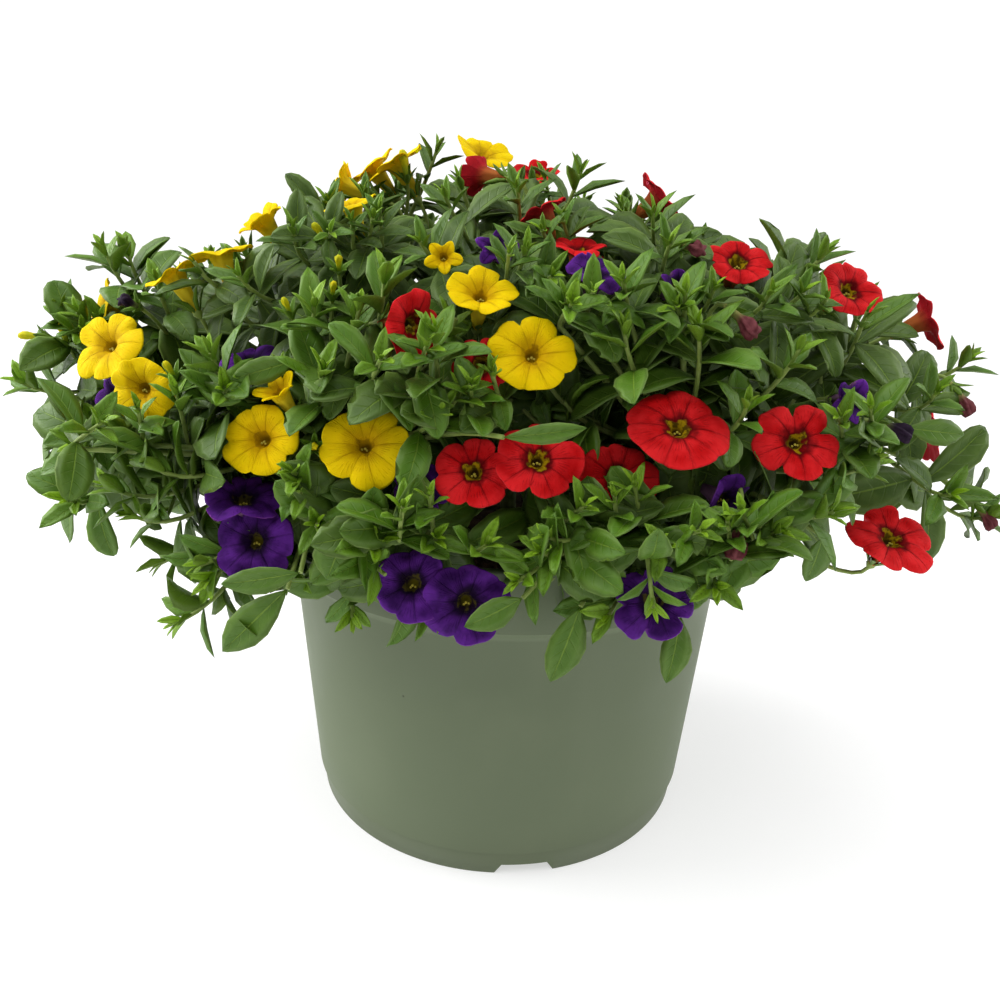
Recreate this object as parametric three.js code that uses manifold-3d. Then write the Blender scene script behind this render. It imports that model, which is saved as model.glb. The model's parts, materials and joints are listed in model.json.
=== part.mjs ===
/**
 * Calibrachoa trio in a round nursery pot: three plants with yellow, red and purple
 * flowers, grown together into one mound that spills over the rim.
 *
 * Millimetres, +Z up, the origin at the centre of the pot's foot, the fuller face of
 * the plant towards -Y. Nine green solids hold the necks, stems, leaves, buds, flower
 * stalks and calyxes. Each stands in its own hole in the soil. Every corolla is a
 * solid of its own, seated in its calyx, and corollas that touch are grown together.
 */
import * as THREE from 'three';
import { mergeVertices } from 'three/addons/utils/BufferGeometryUtils.js';
import Module from 'manifold-3d';

const wasm = await Module();
wasm.setup();
const { Manifold } = wasm;

// ---- Driving dimensions ---------------------------------------------------------

const SEAT_GAP = 0.35; // left between pieces that touch each other
const LATHE_SIDES = 24; // pot and soil share their sides, so the gap between them is even

const POT = {
  height: 143,
  footRadius: 84.6,
  footWall: 3,
  floorUnderside: 5.5,
  floorThickness: 2.4,
  bandTop: 11,
  bandRadius: 86,
  bodyFootRadius: 86.9,
  bodyTopRadius: 95,
  bodyTop: 113.5,
  collarStep: 4.5,
  collarFootRadius: 99.8,
  collarTopRadius: 101,
  wall: 2,
  lipRound: 1.3,
};

const NOTCH = { count: 4, firstTurn: 8.6, footWidth: 25, topWidth: 19, height: 4.8 };
const DRAIN = { count: 4, radius: 5, circleRadius: 58, sides: 8 };

const SOIL = { edgeHeight: 124, crownHeight: 130.5, ripple: 0.9 };
const NECK = { foot: 100, bend: 135, sides: 6 };

// The outline that the mound of leaves fills, widest at its waist height.
const MOUND = { halfWidth: 200, halfDepth: 125, rise: 128, droop: 60, waist: 150, power: 2.2 };

const STEM = { rootRadius: 1.1, tipRadius: 0.8, stalkRadius: 0.75, sides: 3 };
const TOUCH = 1e-6; // cubic millimetres shared by two solids that only just meet
const SLIVER = 0.02; // corners closer than this to their neighbours' line are left out
const GOLDEN = 137.508; // degrees between one shoot and the next round the mound

/** Leaves: thickness at the midrib, fold and arch as shares, and outline rows [along, width]. */
const LEAF = { rib: 1.1, fold: 0.22, arch: 0.16 };
const SMALL_LEAF = [[0.54, 1]];
const LARGE_LEAF = [[0.36, 0.84], [0.74, 0.92]];
const LARGE_LENGTH = 28; // leaves from this length on have the fuller outline

/** Two whorls of three leaves end each shoot, the upper one small and upright. */
const WHORL = {
  leaves: 3,
  drop: 5,
  foot: 1.6,
  rises: [0.5, 0.25, 0], // how far the tip turns upwards
  lower: { length: 24, vary: 7, widthShare: 0.45, spread: 66 },
  upper: { length: 15, vary: 4, widthShare: 0.42, spread: 34 },
};
// How a leaf stands aside for a neighbour: degrees round the stem, size, degrees of lean.
const LEAF_TRIES = [
  [0, 1, 0], [24, 1, 0], [-24, 1, 0], [0, 1, -18], [0, 1, 14],
  [24, 0.8, -10], [-24, 0.8, -10], [0, 0.7, -20],
];
// How a flower stalk bends aside: degrees round the bloom's axis, and millimetres.
const STALK_TRIES = [
  [0, 0], [0, 9], [90, 9], [180, 9], [270, 9], [45, 16], [135, 16], [225, 16], [315, 16],
];

/** A corolla 26 mm wide, measured along its axis from the level of its open face. */
const COROLLA = {
  width: 26,
  lobes: 5,
  // one lobe's rim from its notch on: share of the radius, and height of the wave
  wideLobe: [[0.84, 0.35], [1, -0.4], [1, -0.4]],
  smallLobe: [[0.62, 0.3], [1, -0.3]],
  smallWidth: 17,
  midShare: 0.52,
  throatRadius: 3.2,
  throatDepth: 1.6,
  pitDepth: 5,
  neckRadius: 3.7,
  neckDepth: 5,
  tubeRadius: 1.3,
  tubeDepth: 13.5,
};
const CALYX = { cupDepth: 17, footDepth: 19.5, tipRadius: 3.5, tipDepth: 9.6 };

// ---- Colours --------------------------------------------------------------------

const FINISH = {
  pot: { color: 0x8b957c, roughness: 0.62 },
  soil: { color: 0x35281d, roughness: 0.95 },
  leaf: { color: 0x4c7535, roughness: 0.6 },
  yellow: { color: 0xf0c814, roughness: 0.5 },
  red: { color: 0xc5162a, roughness: 0.5 },
  purple: { color: 0x431a72, roughness: 0.55 },
};

// ---- Where things grow ----------------------------------------------------------

/**
 * The green solids: where the neck stands in the soil, its radius, and the smaller
 * inner body (centre and half sizes) that the shoots stand out of.
 */
const HEART = { radius: 5, half: [31, 46, 44] };
const FRONT = { radius: 3.4, half: [34, 27, 21] };
const SIDE = { radius: 3.4, half: [36, 46, 28] };
const BACK = { radius: 3.4, half: [36, 24, 26] };
const GREENS = [
  { name: 'heart_yellow', neck: [-28, 14], centre: [-64, 2, 208], ...HEART },
  { name: 'heart_red', neck: [28, 14], centre: [64, 2, 208], ...HEART },
  { name: 'heart_purple', neck: [0, -28], centre: [0, 0, 208], ...HEART },
  { name: 'trailing_stems_front_left', neck: [-32, -56], centre: [-64, -72, 169], ...FRONT },
  { name: 'trailing_stems_front_right', neck: [32, -56], centre: [64, -72, 169], ...FRONT },
  { name: 'trailing_stems_left', neck: [-64, 0], centre: [-134, 0, 176], ...SIDE },
  { name: 'trailing_stems_right', neck: [64, 0], centre: [134, 0, 176], ...SIDE },
  { name: 'trailing_stems_back_left', neck: [-32, 56], centre: [-59, 66, 174], ...BACK },
  { name: 'trailing_stems_back_right', neck: [32, 56], centre: [59, 66, 174], ...BACK },
];

/**
 * The blooms by colour. Each row of blooms is one solid: the open face's centre,
 * its width, how far it turns to the right of -Y, how far it looks up, and how far
 * the lobes close forwards (0 flat, 1 shut).
 */
const BLOOMS = {
  yellow: [
    [[-49, -9, 276, 27, -85, 58, 0.1], [-60, 0, 274, 24, -90, 50, 0.1]],
    [[-70, -15, 266, 22, -95, 15, 0.1]],
    [[-15, -2, 281, 25, 45, 60, 0.15]],
    [[-93, -44, 253, 20, -65, 55, 0.35]],
    [[-106, -56, 243, 24, -100, 74, 0.05], [-123, -58, 235, 22, -85, 60, 0.1]],
    [[-24, -84, 246, 12, 0, 20, 0.1]],
    [[-11, -92, 236, 23, 10, 55, 0.2]],
    [[6, -104, 219, 26, 5, 30, 0.05]],
    [[-146, -65, 210, 29, -25, 35, 0.05]],
    [[-126, -88, 199, 23, -15, 5, 0.05]],
    [[-80, -108, 189, 24, -12, 26, 0.15]],
    [[-46, -113, 190, 28, -5, 38, 0.05]],
    [[-75, -103, 204, 17, -45, 58, 0.35]],
    [[-165, -24, 219, 22, -60, 20, 0.1]],
    [[-60, -48, 261, 20, -60, 74, 0.1]],
  ],
  red: [
    [[-15, -20, 272, 18, -125, 5, 0.45]],
    [[6, -2, 274, 19, -10, 62, 0.15]],
    [[8, -48, 260, 20, -115, 52, 0.1]],
    [[21, -68, 250, 20, 0, 80, 0.1]],
    [[52, -33, 266, 24, 95, 38, 0.1]],
    [[77, -62, 247, 23, 8, 52, 0.05]],
    [[120, -54, 238, 23, 20, 36, 0.1]],
    [[161, -28, 225, 25, 82, 28, 0.1]],
    [[-31, -101, 226, 24, 55, 5, 0.05]],
    [[-10, -100, 214, 18, -4, 10, 0.05]],
    [[53, -110, 199, 31, 5, 50, 0]],
    [[93, -103, 194, 28, 8, 36, 0.05]],
    [[-11, -117, 184, 24, -3, 34, 0.05], [9, -115, 188, 27, 6, 38, 0.05]],
    [[36, -103, 179, 26, 0, 34, 0.05]],
    [[135, -90, 157, 30, 15, 58, 0.05]],
  ],
  purple: [
    [[-83, -112, 155, 26, -8, 22, 0.05], [-87, -107, 169, 24, 25, 68, 0.1]],
    [[-30, -121, 146, 24, -6, 24, 0.05], [-12, -123, 141, 27, 4, 14, 0.05]],
    [[49, -119, 142, 27, 12, 22, 0.05]],
    [[26, -84, 243, 20, 20, 62, 0.1]],
    [[-28, -113, 176, 18, -15, 0, 0.05]],
    [[71, -109, 174, 20, 35, -8, 0.1]],
    [[-90, -80, 209, 20, -10, 66, 0.05]],
    [[-147, -60, 189, 22, -30, 0, 0.05]],
    [[54, -80, 239, 14, 30, 30, 0.1]],
    [[115, -86, 204, 16, 20, 10, 0.1]],
    [[-7, -74, 249, 14, 0, 30, 0.1]],
  ],
  back: {
    yellow: [
      [[-88, 80, 236, 26, -135, 25, 0.05], [-74, 84, 231, 25, -175, 20, 0.05]],
      [[-154, 58, 196, 28, -115, 15, 0.05]],
      [[-22, 113, 196, 26, 178, 12, 0.05]],
    ],
    red: [
      [[52, 88, 232, 28, 168, 28, 0.05]],
      [[112, 88, 190, 28, 130, 5, 0.05], [101, 93, 200, 25, 170, 30, 0.05]],
      [[190, 12, 170, 27, 85, 10, 0.05]],
    ],
    purple: [
      [[-76, 108, 166, 26, -160, 5, 0.05]],
      [[34, 114, 168, 25, 175, 5, 0.05]],
    ],
  },
};

/** Shoot tips that shape the mound's outline and face, as the middle of each leaf rosette. */
const SHOOT_TIPS = [
  // left shoulder and side
  [-161, -26, 240], [-178, -34, 217], [-191, -44, 190], [-157, -83, 156],
  [-127, -101, 158], [-101, -113, 146], [-112, -108, 122], [-134, -92, 186],
  // upper left
  [-104, -50, 252], [-77, -66, 252], [-93, -79, 237], [-64, -96, 230],
  // crown
  [-34, 2, 281], [22, -37, 274], [-1, -52, 268], [46, -60, 261], [3, -85, 249], [-32, -80, 250],
  // face
  [-49, -99, 230], [16, -97, 235], [-15, -113, 208], [-59, -109, 212], [3, -116, 203],
  [64, -87, 239], [-66, -118, 175], [12, -125, 166], [49, -122, 163], [-40, -123, 161],
  // right shoulder and side
  [108, -56, 249], [96, -77, 238], [74, -108, 207], [177, -34, 211], [147, -76, 206],
  [120, -99, 187], [157, -80, 170], [190, -50, 152], [88, -113, 166],
];

/** Single leaves that hang free below the mound: leaf base, leaf tip and width. */
const HANGING_LEAVES = [
  [-71, -118, 141, -95, -122, 117, 12],
  [-51, -118, 162, -58, -122, 146, 14],
  [-42, -110, 153, -40, -112, 138, 10],
  [25, -120, 140, 17, -126, 113, 12],
  [60, -110, 133, 57, -120, 112, 11],
  [-179, -50, 177, -183, -52, 150, 13],
  [-166, -60, 156, -175, -62, 130, 14],
  [107, -100, 160, 104, -104, 144, 12],
  [82, -112, 160, 74, -114, 144, 14],
  [137, -80, 194, 161, -78, 191, 9],
  [168, -60, 166, 175, -58, 187, 10],
];

const FILL = { count: 600, lowest: -0.42, shootSpacing: 41, bloomSpacing: 16 };

/** How high and how low shoot tips reach across the mound, as [x, height] rows. */
const CREST = [
  [-205, 220], [-160, 222], [-140, 236], [-90, 243], [-66, 266], [-45, 277], [-15, 276],
  [5, 269], [60, 262], [76, 244], [150, 236], [170, 223], [188, 213], [205, 190],
];
const HEM = [
  [-205, 158], [-185, 150], [-150, 138], [-105, 122], [-60, 116], [50, 120], [78, 152],
  [105, 166], [150, 182], [205, 190],
];

// ---- Small helpers --------------------------------------------------------------

const RADIANS = Math.PI / 180;
const UP = new THREE.Vector3(0, 0, 1);
const vec = (row) => new THREE.Vector3(row[0], row[1], row[2]);

/** A repeatable draw between 0 and 1 for item i, property j. */
function draw(i, j) {
  const wave = Math.sin(i * 12.9898 + j * 78.233) * 43758.5453;
  return wave - Math.floor(wave);
}

/** Direction turned to the right of -Y and raised above the level, in degrees. */
function heading(turn, tilt) {
  const level = Math.cos(tilt * RADIANS);
  const x = Math.sin(turn * RADIANS) * level;
  const y = -Math.cos(turn * RADIANS) * level;
  return new THREE.Vector3(x, y, Math.sin(tilt * RADIANS));
}

/** Two directions square to the given one and to each other. */
function squareTo(axis, hint = UP) {
  const spare = Math.abs(axis.dot(hint)) > 0.98 ? new THREE.Vector3(1, 0, 0) : hint;
  const side = new THREE.Vector3().crossVectors(spare, axis).normalize();
  const over = new THREE.Vector3().crossVectors(axis, side).normalize();
  return [side, over];
}

/** A closed solid from its corners and its triangles, turned the right way out. */
function solidOf(corners, triangles) {
  const vertProperties = new Float32Array(corners.flatMap((p) => [p.x, p.y, p.z]));
  const make = (faces) => {
    const triVerts = new Uint32Array(faces.flat());
    return new Manifold(new wasm.Mesh({ numProp: 3, vertProperties, triVerts }));
  };
  const solid = make(triangles);
  return solid.volume() < 0 ? make(triangles.map(([a, b, c]) => [a, c, b])) : solid;
}

/** A closed solid from a three.js geometry. */
function solidOfGeometry(geometry) {
  const bare = geometry.index ? geometry.toNonIndexed() : geometry.clone();
  bare.deleteAttribute('normal');
  bare.deleteAttribute('uv');
  const merged = mergeVertices(bare, 1e-3);
  const place = merged.getAttribute('position');
  const corners = [];
  for (let i = 0; i < place.count; i += 1) corners.push(new THREE.Vector3().fromBufferAttribute(place, i));
  const triangles = [];
  for (let i = 0; i < merged.index.count; i += 3) {
    const [a, b, c] = [0, 1, 2].map((k) => merged.index.getX(i + k));
    if (a !== b && b !== c && c !== a) triangles.push([a, b, c]);
  }
  return solidOf(corners, triangles);
}

/** The faceted geometry of a solid. */
function geometryOf(solid) {
  const { vertProperties, triVerts } = solid.getMesh();
  const geometry = new THREE.BufferGeometry();
  geometry.setAttribute('position', new THREE.BufferAttribute(vertProperties, 3));
  geometry.setIndex(new THREE.BufferAttribute(triVerts, 1));
  geometry.computeVertexNormals();
  return geometry;
}

/** The largest body of a solid: a loose scrap or the skin of a sealed hollow is left out. */
function largest(solid) {
  return solid.decompose().reduce((best, body) => (body.volume() > best.volume() ? body : best));
}

/** Solids joined into one body. */
function join(solids) {
  const joined = largest(Manifold.union(solids).simplify(SLIVER));
  return largest(solidOfGeometry(geometryOf(joined)));
}

/** A solid turned about the Z axis from a profile of [radius, height] rows. */
function latheSolid(profile) {
  const points = profile.map(([radius, height]) => new THREE.Vector2(radius, height));
  return new THREE.LatheGeometry(points, LATHE_SIDES).rotateX(Math.PI / 2);
}

// ---- Pot and soil ---------------------------------------------------------------

/** The pot's inner wall from the floor up, as [radius, height] rows. */
function innerWall() {
  const floorTop = POT.floorUnderside + POT.floorThickness;
  return [
    [POT.footRadius - 0.4, floorTop],
    [POT.bodyFootRadius - POT.wall + 0.2, floorTop + 6],
    [POT.bodyTopRadius - POT.wall, POT.bodyTop - 1.5],
    [POT.collarFootRadius - POT.wall - 0.8, POT.bodyTop + POT.collarStep + 1],
    [POT.collarTopRadius - POT.wall - 0.8, POT.height - POT.lipRound],
  ];
}

function trapezoidCutter(turn) {
  const shape = new THREE.Shape();
  const slope = (NOTCH.footWidth - NOTCH.topWidth) / 2 / NOTCH.height;
  const below = 1;
  shape.moveTo(-NOTCH.footWidth / 2 - slope * below, -below);
  shape.lineTo(NOTCH.footWidth / 2 + slope * below, -below);
  shape.lineTo(NOTCH.topWidth / 2, NOTCH.height);
  shape.lineTo(-NOTCH.topWidth / 2, NOTCH.height);
  shape.closePath();
  const cutter = new THREE.ExtrudeGeometry(shape, { depth: 4 * POT.footWall, bevelEnabled: false });
  cutter.rotateX(Math.PI / 2);
  cutter.translate(0, -POT.footRadius + 2 * POT.footWall, 0);
  return solidOfGeometry(cutter.rotateZ(turn));
}

function drainCutter(turn) {
  const height = 3 * POT.floorThickness;
  const hole = new THREE.CylinderGeometry(DRAIN.radius, DRAIN.radius, height, DRAIN.sides);
  hole.rotateX(Math.PI / 2);
  hole.translate(0, -DRAIN.circleRadius, POT.floorUnderside + POT.floorThickness / 2);
  return solidOfGeometry(hole.rotateZ(turn));
}

function makePot() {
  const footInside = POT.footRadius - POT.footWall;
  const profile = [
    [0, POT.floorUnderside],
    [footInside - 0.4, POT.floorUnderside],
    [footInside, 0],
    [POT.footRadius, 0],
    [POT.bandRadius, POT.bandTop],
    [POT.bodyFootRadius, POT.bandTop + 0.6],
    [POT.bodyTopRadius, POT.bodyTop],
    [POT.collarFootRadius, POT.bodyTop + POT.collarStep],
    [POT.collarTopRadius, POT.height - POT.lipRound],
    [POT.collarTopRadius - POT.lipRound / 2, POT.height],
    [POT.collarTopRadius - POT.wall - 0.2, POT.height],
    ...innerWall().reverse(),
    [0, POT.floorUnderside + POT.floorThickness],
  ];
  let pot = solidOfGeometry(latheSolid(profile));
  for (let i = 0; i < NOTCH.count; i += 1) {
    const turn = NOTCH.firstTurn * RADIANS + (i * 2 * Math.PI) / NOTCH.count;
    pot = pot.subtract(trapezoidCutter(turn));
    pot = pot.subtract(drainCutter(turn + Math.PI / DRAIN.count));
  }
  return pot;
}

/** The level direction across a neck's bend, which its corners and its hole's line up with. */
function neckLean({ neck, centre }) {
  return new THREE.Vector3(neck[1] - centre[1], centre[0] - neck[0], 0).normalize();
}

function makeSoil() {
  const wall = innerWall();
  const [floorEdge, bodyFoot, bodyTop, collarFoot, lip] = wall;
  const rise = (SOIL.edgeHeight - collarFoot[1]) / (lip[1] - collarFoot[1]);
  const edgeRadius = collarFoot[0] + rise * (lip[0] - collarFoot[0]) - SEAT_GAP;
  const crown = SOIL.crownHeight;
  const profile = [
    [0, floorEdge[1] + SEAT_GAP],
    [floorEdge[0] - SEAT_GAP, floorEdge[1] + SEAT_GAP],
    [bodyFoot[0] - SEAT_GAP, bodyFoot[1]],
    [bodyTop[0] - SEAT_GAP, bodyTop[1] + 0.2],
    [collarFoot[0] - SEAT_GAP, collarFoot[1] + 0.4],
    [edgeRadius, SOIL.edgeHeight],
    [0.9 * edgeRadius, SOIL.edgeHeight + 2.4],
    [0.62 * edgeRadius, crown - 1.4],
    [0.3 * edgeRadius, crown],
    [0, crown],
  ];
  const turned = latheSolid(profile);
  const place = turned.getAttribute('position');
  for (let i = 0; i < place.count; i += 1) {
    const [x, y, z] = [place.getX(i), place.getY(i), place.getZ(i)];
    const lumps = Math.sin(x * 0.23 + 1) * Math.cos(y * 0.19) + Math.sin((x + y) * 0.41);
    if (z > SOIL.edgeHeight + 1) place.setZ(i, z + SOIL.ripple * lumps);
  }
  const holes = GREENS.map((green) => {
    const [x, y] = green.neck;
    const foot = new THREE.Vector3(x, y, NECK.foot - SEAT_GAP);
    const mouth = new THREE.Vector3(x, y, NECK.bend + 5);
    const radius = green.radius + SEAT_GAP / Math.cos(Math.PI / NECK.sides);
    return solidThrough(ringsAlong([foot, mouth], [radius, radius], NECK.sides, neckLean(green)));
  });
  return solidOfGeometry(turned).subtract(Manifold.union(holes));
}

// ---- Stems, leaves and flowers --------------------------------------------------

/** Rings of corners square to a path, each turned by its own angle from the lean. */
function ringsAlong(path, radii, sides, lean, turns = []) {
  return path.map((point, i) => {
    const before = path[Math.max(i - 1, 0)];
    const after = path[Math.min(i + 1, path.length - 1)];
    const along = after.clone().sub(before).normalize();
    const side = lean.clone().addScaledVector(along, -lean.dot(along)).normalize();
    const over = new THREE.Vector3().crossVectors(along, side);
    return [...Array(sides).keys()].map((k) => {
      const angle = (k * 2 * Math.PI) / sides + (turns[i] ?? 0) * RADIANS;
      const corner = point.clone().addScaledVector(side, Math.cos(angle) * radii[i]);
      return corner.addScaledVector(over, Math.sin(angle) * radii[i]);
    });
  });
}

/** Triangles of the wall between two rings of corner numbers, which may differ in count. */
function wall(lower, upper) {
  const rows = [];
  let [i, j] = [0, 0];
  while (i < lower.length || j < upper.length) {
    const [a, b] = [lower[i % lower.length], upper[j % upper.length]];
    if ((i + 0.5) / lower.length <= (j + 0.5) / upper.length) {
      i += 1;
      rows.push([a, lower[i % lower.length], b]);
    } else {
      j += 1;
      rows.push([a, upper[j % upper.length], b]);
    }
  }
  return rows;
}

/** Triangles that close a ring of corner numbers with a flat end. */
const flatEnd = (ring) => ring.slice(2).map((corner, i) => [ring[0], ring[i + 1], corner]);

/** A solid with flat ends through rings of corners. */
function solidThrough(rings) {
  let first = 0;
  const numbers = rings.map((ring) => ring.map(() => first++));
  const triangles = numbers.slice(1).flatMap((ring, i) => wall(numbers[i], ring));
  triangles.push(...flatEnd([...numbers[0]].reverse()), ...flatEnd(numbers[numbers.length - 1]));
  return solidOf(rings.flat(), triangles);
}

/** A stem with flat sides along a path, with a radius at each point. */
function tube(path, radii, sides, swell = 0) {
  const run = path[path.length - 1].clone().sub(path[0]).normalize();
  return solidThrough(ringsAlong(path, radii.map((radius) => radius + swell), sides, squareTo(run)[0]));
}

/** The radii of a shoot's stem from its root to its tip. */
function stemRadii(count) {
  const { lerp } = THREE.MathUtils;
  return [...Array(count).keys()].map((i) => lerp(STEM.rootRadius, STEM.tipRadius, i / (count - 1)));
}

/** Points along the bend from one end to the other, pulled towards a control point. */
function bend(from, control, to, steps) {
  const curve = new THREE.QuadraticBezierCurve3(from, control, to);
  return curve.getPoints(steps);
}

/**
 * The corners of one leaf: a thin blade, folded up at its midrib and arched back.
 * Each section runs from below round by the right to above and the left.
 */
function leafCorners({ base, along, face, length, width, stations }, swell = 0) {
  const side = new THREE.Vector3().crossVectors(along, face).normalize();
  const rib = LEAF.rib / 2 + swell;
  const spine = (t) => {
    const point = base.clone().addScaledVector(along, t * length);
    return point.addScaledVector(face, -LEAF.arch * length * t * t);
  };
  const sections = stations.map(([t, share]) => {
    const half = (width / 2) * share + swell;
    const place = (across, up) => spine(t).addScaledVector(side, across).addScaledVector(face, up);
    return [place(0, -rib), place(-half, LEAF.fold * half), place(0, rib), place(half, LEAF.fold * half)];
  });
  return { foot: spine(0), sections, tip: spine(1 + swell / length) };
}

/** Triangles of a leaf from a loop of four corners on its stem, through its sections. */
function leafTriangles(loop, first, count) {
  let here = loop;
  const rows = [];
  for (let i = 0; i < count; i += 1) {
    const next = [0, 1, 2, 3].map((k) => first + 4 * i + k);
    rows.push(...wall(here, next));
    here = next;
  }
  const tip = first + 4 * count;
  return [...rows, ...wall(here, [tip]).filter((row) => new Set(row).size === 3)];
}

/** A leaf by itself, from a point at its foot. */
function blade(leaf, swell = 0) {
  const { foot, sections, tip } = leafCorners(leaf, swell);
  const loop = [0, 0, 0, 0];
  const rows = leafTriangles(loop, 1, sections.length).filter((row) => new Set(row).size === 3);
  return solidOf([foot, ...sections.flat(), tip], rows);
}

/** A shoot: a stem through its rings, with leaves grown out of some of its faces. */
function shootSolid(rings, leaves) {
  const sides = rings[0].length;
  const corners = rings.flat();
  const numbers = rings.map((ring, i) => ring.map((_, k) => i * sides + k));
  const triangles = [];
  for (let i = 0; i + 1 < rings.length; i += 1) {
    const rooted = leaves.filter((leaf) => leaf.ring === i);
    if (rooted.length === 0) triangles.push(...wall(numbers[i], numbers[i + 1]));
    for (let k = 0; rooted.length > 0 && k < sides; k += 1) {
      const next = (k + 1) % sides;
      const loop = [numbers[i][k], numbers[i][next], numbers[i + 1][next], numbers[i + 1][k]];
      const leaf = rooted.find((row) => row.side === k);
      if (leaf) {
        const { sections, tip } = leafCorners(leaf);
        triangles.push(...leafTriangles(loop, corners.length, sections.length));
        corners.push(...sections.flat(), tip);
      } else triangles.push(...flatEnd(loop));
    }
  }
  triangles.push(...flatEnd([...numbers[0]].reverse()), ...flatEnd(numbers[numbers.length - 1]));
  return solidOf(corners, triangles);
}

/** Rings of a corolla from its rim to its tube, as [angle, radius, height] rows. */
function corollaRings({ width, shut }) {
  const scale = Math.min(1, width / COROLLA.width + 0.15);
  const radius = width / 2;
  const lobe = width > COROLLA.smallWidth ? COROLLA.wideLobe : COROLLA.smallLobe;
  const steps = COROLLA.lobes * lobe.length;
  const rim = [...Array(steps).keys()].map((k) => {
    const [share, wave] = lobe[k % lobe.length];
    const height = radius * Math.sin(shut * 1.1) + wave * scale;
    return [(k * 360) / steps, radius * share * Math.cos(shut * 1.1), height];
  });
  const ring = (r, height) => [...Array(COROLLA.lobes).keys()].map((k) => [k * 72, r, height]);
  const middle = radius * COROLLA.midShare;
  return {
    scale,
    rim,
    face: ring(middle * Math.cos(shut * 0.7), middle * Math.sin(shut * 0.7) + 0.2 * scale),
    throat: ring(COROLLA.throatRadius * scale, -COROLLA.throatDepth * scale),
    neck: ring(COROLLA.neckRadius * scale, -COROLLA.neckDepth * scale),
    foot: ring(COROLLA.tubeRadius * scale, -COROLLA.tubeDepth * scale),
  };
}

/** The bloom's own frame as a function from [angle, radius, height] to a place. */
function bloomFrame(bloom) {
  const axis = heading(bloom.turn, bloom.tilt);
  const [side, over] = squareTo(axis);
  return ([angle, radius, height]) => {
    const place = bloom.at.clone().addScaledVector(axis, height);
    place.addScaledVector(side, Math.cos((angle + bloom.spin) * RADIANS) * radius);
    return place.addScaledVector(over, Math.sin((angle + bloom.spin) * RADIANS) * radius);
  };
}

/** One corolla: tube, throat and five joined lobes. */
function corolla(bloom) {
  const { scale, rim, face, throat, neck, foot } = corollaRings(bloom);
  const place = bloomFrame(bloom);
  const corners = [place([0, 0, -COROLLA.pitDepth * scale])];
  const add = (rows) => rows.map((row) => corners.push(place(row)) - 1);
  const front = [throat, ...(bloom.width > COROLLA.smallWidth ? [face] : []), rim].map(add);
  const back = [rim, neck, foot].map((rows, i) => (i ? add(rows) : front[front.length - 1]));
  const triangles = throatPit(front[0]);
  [...front, ...back.slice(1)].reduce((lower, upper) => {
    triangles.push(...wall(lower, upper));
    return upper;
  });
  triangles.push(...flatEnd(back[2]));
  return solidOf(corners, triangles);
}

/** Triangles of the pit in the middle of the throat, whose corner is number 0. */
const throatPit = (ring) => ring.map((corner, i) => [0, ring[(i + 1) % ring.length], corner]);

/** A flower stalk from its root to the calyx, a cup with five corners. */
function stalkSolid(path, bloom, swell = 0) {
  const { scale } = corollaRings(bloom);
  const place = bloomFrame(bloom);
  const lean = place([0, 1, 0]).sub(place([0, 0, 0]));
  const stem = ringsAlong(path, path.map(() => STEM.stalkRadius + swell), STEM.sides, lean);
  const [reach, depth] = [CALYX.tipRadius * scale + swell, CALYX.tipDepth * scale];
  const cup = [...Array(COROLLA.lobes).keys()].map((k) => place([k * 72, reach, -depth]));
  const corners = [...stem, cup].flat();
  let first = 0;
  const numbers = [...stem, cup].map((ring) => ring.map(() => first++));
  const triangles = numbers.slice(1).flatMap((ring, i) => wall(numbers[i], ring));
  triangles.push(...flatEnd([...numbers[0]].reverse()));
  const rim = numbers[numbers.length - 1];
  corners.push(place([0, 0, -CALYX.cupDepth * scale]));
  triangles.push(...rim.map((corner, i) => [corner, rim[(i + 1) % rim.length], first]));
  return solidOf(corners, triangles);
}

// ---- Room: what has grown so far, so that nothing else crosses it ----------------

const grown = [];

function boxOf(solid) {
  const { min, max } = solid.boundingBox();
  return new THREE.Box3(vec(min), vec(max));
}

function grow(owner, solid, shoot = null, kept = true) {
  grown.push({ owner, solid, shoot, kept, box: boxOf(solid) });
}

function meets(solid, others) {
  const box = boxOf(solid);
  const near = others.filter((other) => other.box.intersectsBox(box));
  return near.some((other) => solid.intersect(other.solid).volume() > TOUCH);
}

/** True where a solid, already swollen by the gap, meets nothing of another owner. */
function isClear(solid, owner, seat = null) {
  return !meets(solid, grown.filter((other) => other.owner !== owner && !(seat && other.shoot === seat)));
}

/** True where a leaf crosses nothing of its own green, apart from its own shoot. */
function isFree(solid, owner, shoot) {
  return !meets(solid, grown.filter((other) => other.owner === owner && other.shoot !== shoot));
}

// ---- Growing the green solids ---------------------------------------------------

/** How far along a direction the inner body reaches from its centre. */
function coreReach(green, direction) {
  const [a, b, c] = green.half;
  return 1 / Math.hypot(direction.x / a, direction.y / b, direction.z / c);
}

/** Where a stem towards the given place leaves from, well inside the inner body. */
function rootOf(green, target) {
  const direction = target.clone().sub(vec(green.centre)).normalize();
  return vec(green.centre).addScaledVector(direction, 0.62 * coreReach(green, direction));
}

function makeCore(green) {
  const lump = new THREE.IcosahedronGeometry(1.12, 0);
  lump.scale(...green.half);
  lump.translate(...green.centre);
  return solidOfGeometry(lump);
}

function makeNeck(green) {
  const [x, y] = green.neck;
  const foot = new THREE.Vector3(x, y, NECK.foot);
  const top = new THREE.Vector3(x, y, NECK.bend);
  const centre = vec(green.centre);
  const elbow = top.clone().lerp(centre, 0.5).setZ(NECK.bend + 19);
  const inside = rootOf(green, elbow);
  const radii = [1, 1, 0.85, 0.75].map((share) => share * green.radius);
  return solidThrough(ringsAlong([foot, top, elbow, inside], radii, NECK.sides, neckLean(green)));
}

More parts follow.
